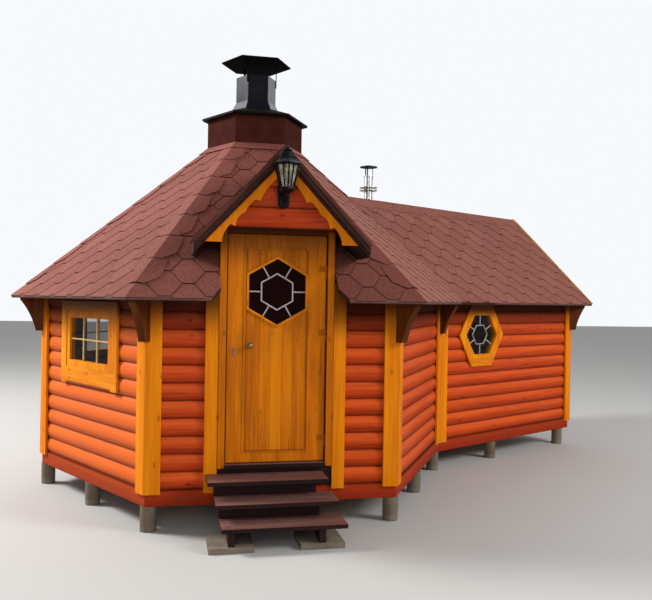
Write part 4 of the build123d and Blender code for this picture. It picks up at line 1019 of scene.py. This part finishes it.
dark, light = (0.0012, 0.001, 0.0014), (0.003, 0.0025, 0.0035)
matt_black = sheet_metal("matt black sheet", dark, light, 0.70, 0.03)
dark, light = (0.036, 0.0086, 0.0058), (0.053, 0.0140, 0.0100)
brown_sheet = sheet_metal("dark red sheet", dark, light, 0.65, 0.01)
black_sheet, surface, place = new_finish("black sheet", Specular_IOR_Level=0.06)
face = true_normal(surface)
film = place.noise(9, 4, 0.6)
# Painted reflections: every face of the duct but the front is made dark grey, and paler still
# where it looks right or upward, as if it mirrored the sky; the front stays black.
aside = face.dot((0, -1, 0)).between(0.9, 0.7)
painted_top_sheen = face.dot((0, 0, 1)).between(0.15, 0.4)
painted_reflections = film.ramp((0.3, (0.022, 0.022, 0.025)), (0.7, (0.036, 0.036, 0.040)))
painted_right_sheen = face.dot((1, 0, 0)).between(0.2, 0.5)
painted_reflections = painted_reflections.layers(((0.19, 0.19, 0.20), painted_right_sheen * 0.75), ((0.17, 0.17, 0.18), painted_top_sheen * 0.8))
tone = film.ramp((0.3, (0.005, 0.005, 0.0075)), (0.7, (0.009, 0.009, 0.013)))
tone = tone.tint(painted_reflections, aside)
connect(surface, (film, 0.003, 0.15), Base_Color=tone, Roughness=0.22 + film * 0.2)
dark, light = (0.003, 0.0015, 0.0015), (0.006, 0.003, 0.003)
rim_black = sheet_metal("black rim sheet", dark, light, 0.55, 0.05)
dress(brown_sheet, "smoke_collar")
dress(rim_black, "collar_cap")
dress(black_sheet, "smoke_duct")
dress(matt_black, "rain_hat")

# Sauna flue: a round twin-wall pipe of stainless steel, with a storm ring and a small cap,
# which is black with soot down to the top of the pipe.
stainless, surface, place = new_finish("stainless steel", Metallic=1.0)
run, deep, height = place.xyz()
brush = place.point(run * 40, deep * 40, height * 900).noise(1, 3)
soot = place.noise(9, 4, 0.6)
flue_top, soot_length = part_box("sauna_flue")[1][2], 0.112
sooty = height > flue_top - soot_length
steel = soot.ramp((0.3, (0.36, 0.355, 0.34)), (0.7, (0.52, 0.52, 0.51)))
steel = steel.tint((0.010, 0.010, 0.011), sooty * 0.96)
rough = 0.24 + brush * 0.18 + sooty * 0.3
connect(surface, (brush, 0.0005, 0.15), Base_Color=steel, Roughness=rough)
dress(stainless, "sauna_flue")

# Lantern: a carriage lamp of black cast metal on a round wall plate, with pale hazy panes
# between its bars.
dark, light = (0.0010, 0.0010, 0.0013), (0.0035, 0.0035, 0.0045)
black_cast = sheet_metal("black cast metal", dark, light, 0.14, 0.13)
lamp_glass, surface, place = new_finish("lamp glass", Specular_IOR_Level=0.5)
haze = place.noise(25, 3)
milky = haze.ramp((0.35, (0.16, 0.15, 0.10)), (0.65, (0.62, 0.58, 0.44)))
rough, clear = 0.10 + haze * 0.15, 0.35 + haze * 0.2
connect(surface, (haze, 0.001, 0.3), Base_Color=milky, Roughness=rough, Alpha=clear)
low, high = map(Vector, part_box("lantern"))
glass_low, glass_high = map(Vector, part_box("lantern_glass"))
post = Vector((0, (glass_low.y + glass_high.y) / 2, 0))
foot, brow = glass_low.z, glass_high.z


def turned(name, sides, base, rings, finish, bevel=0.0):
    """A many-sided form from (radius, height over the base) rings, closed at both ends."""
    radius, height = rings[0]
    spot = (post.x, post.y, base + height)
    form = begin(name, "circle", vertices=sides, radius=radius, fill_type="NGON", location=spot)
    take_all()
    for wide, tall in rings[1:]:
        extrude(0, 0, tall - height)
        about, share = (post.x, post.y, base + tall), wide / radius
        stretch(share, share, 1, center_override=about)
        radius, height = wide, tall
    turn_outwards()
    return done(form, finish, bevel)


hood = [(0.084, -0.010), (0.107, -0.006), (0.108, 0.004), (0.100, 0.008), (0.084, 0.020)]
hood += [(0.069, 0.034), (0.060, 0.052), (0.054, 0.070), (0.042, 0.086), (0.026, 0.094)]
crown = [(0.022, 0.090), (0.034, 0.096), (0.035, 0.101), (0.020, 0.105), (0.013, 0.111)]
crown += [(0.016, 0.117), (0.016, 0.122), (0.009, 0.128), (0.004, 0.131)]
cup = [(0.012, -0.066), (0.022, -0.060), (0.024, -0.050), (0.016, -0.044), (0.030, -0.034)]
cup += [(0.052, -0.020), (0.057, -0.012), (0.057, -0.002), (0.050, 0.004)]
parts = [
    turned("hood", 6, brow, hood, black_cast, 0.002),
    turned("crown", 16, brow, crown, black_cast),
    turned("cup", 6, foot, cup, black_cast, 0.0015),
]
stay = begin("stay", "cube", size=1)
choose(stay, "faces", lambda face: abs(face.normal.z) > 0.9)
bpy.ops.mesh.inset(thickness=0.2)
done(stay, black_cast, 0.12)
for turn in range(12):
    thick, reach = (0.011, 1.0) if turn % 2 == 0 else (0.007, cos(radians(30)))
    way = out(30 * turn + 90)
    start = post + way * 0.050 * reach + Vector((0, 0, foot - 0.004))
    end = post + way * 0.092 * reach + Vector((0, 0, brow + 0.002))
    parts.append(copied(stay, strut(start, end, way, thick, thick)))
plate_front, arm = -1.8704, foot - 0.030
start, end = (0, plate_front, arm), (0, post.y, arm)
parts.append(copied(stay, strut(start, end, (0, 0, 1), 0.020, 0.020)))
start, end = (0, plate_front, arm - 0.055), (0, post.y + 0.012, arm - 0.010)
parts.append(copied(stay, strut(start, end, (0, 0.5, 1), 0.012, 0.014)))
bpy.data.objects.remove(stay)
facing = (radians(90), 0, 0)
plate = begin("plate", "circle", vertices=12, radius=0.046, fill_type="NGON", rotation=facing)
choose(plate, "verts", lambda corner: corner.co.z > -0.001)
shift(0, 0, 0.10)
take_all()
extrude(0, -0.012, 0)
bpy.ops.mesh.inset(thickness=0.008)
extrude(0, -0.006, 0)
turn_outwards()
shift(0, plate_front, low.z + 0.048)
parts.append(done(plate, black_cast, 0.002))
lamp = joined("carriage_lantern", parts)
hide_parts("lantern")
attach(lamp, "hut")
tall = brow - foot
rings = [(0.046, 0), (0.0475, 0.006), (0.0845, tall - 0.006), (0.086, tall)]
panes = turned("lantern_panes", 6, foot, rings, lamp_glass)
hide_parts("lantern_glass")
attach(panes, "hut")

# Steps: three deep treads of pine with a dark purple-brown stain, screwed to two stringers,
# with riser boards far back under them; the sill and the threshold have the same stain. As
# painted light and shade, faces that look up are much paler than all others, which are near
# black.
treads, surface, place = new_finish("dark stained treads", Specular_IOR_Level=0.16)
upward = true_normal(surface).dot((0, 0, 1))
run, deep, height = place.xyz()
seed = (height * 8).math("FLOOR")
streaks, bands, knots = grain(place, run, deep + height * 0.3, seed)
tops = (0.28, (0.095, 0.038, 0.030)), (0.5, (0.155, 0.067, 0.055)), (0.72, (0.215, 0.102, 0.088))
painted_lit_tops = bands.ramp(*tops).tint((0.21, 0.13, 0.12), streaks.between(0.52, 0.7) * 0.4)
# Painted shade on every face that does not look up, and painted light on the tops.
stain = bands.ramp((0.28, (0.0085, 0.0018, 0.0014)), (0.72, (0.024, 0.0055, 0.0042)))
stain = stain.tint(painted_lit_tops, upward > 0.5).tint((0.02, 0.008, 0.006), knots * 0.6)
connect(surface, (streaks, 0.0012, 0.4), Base_Color=stain, Roughness=0.34 + streaks * 0.3)
dress(treads, "treads", "stringers", "threshold", "door_sill")

low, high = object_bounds()
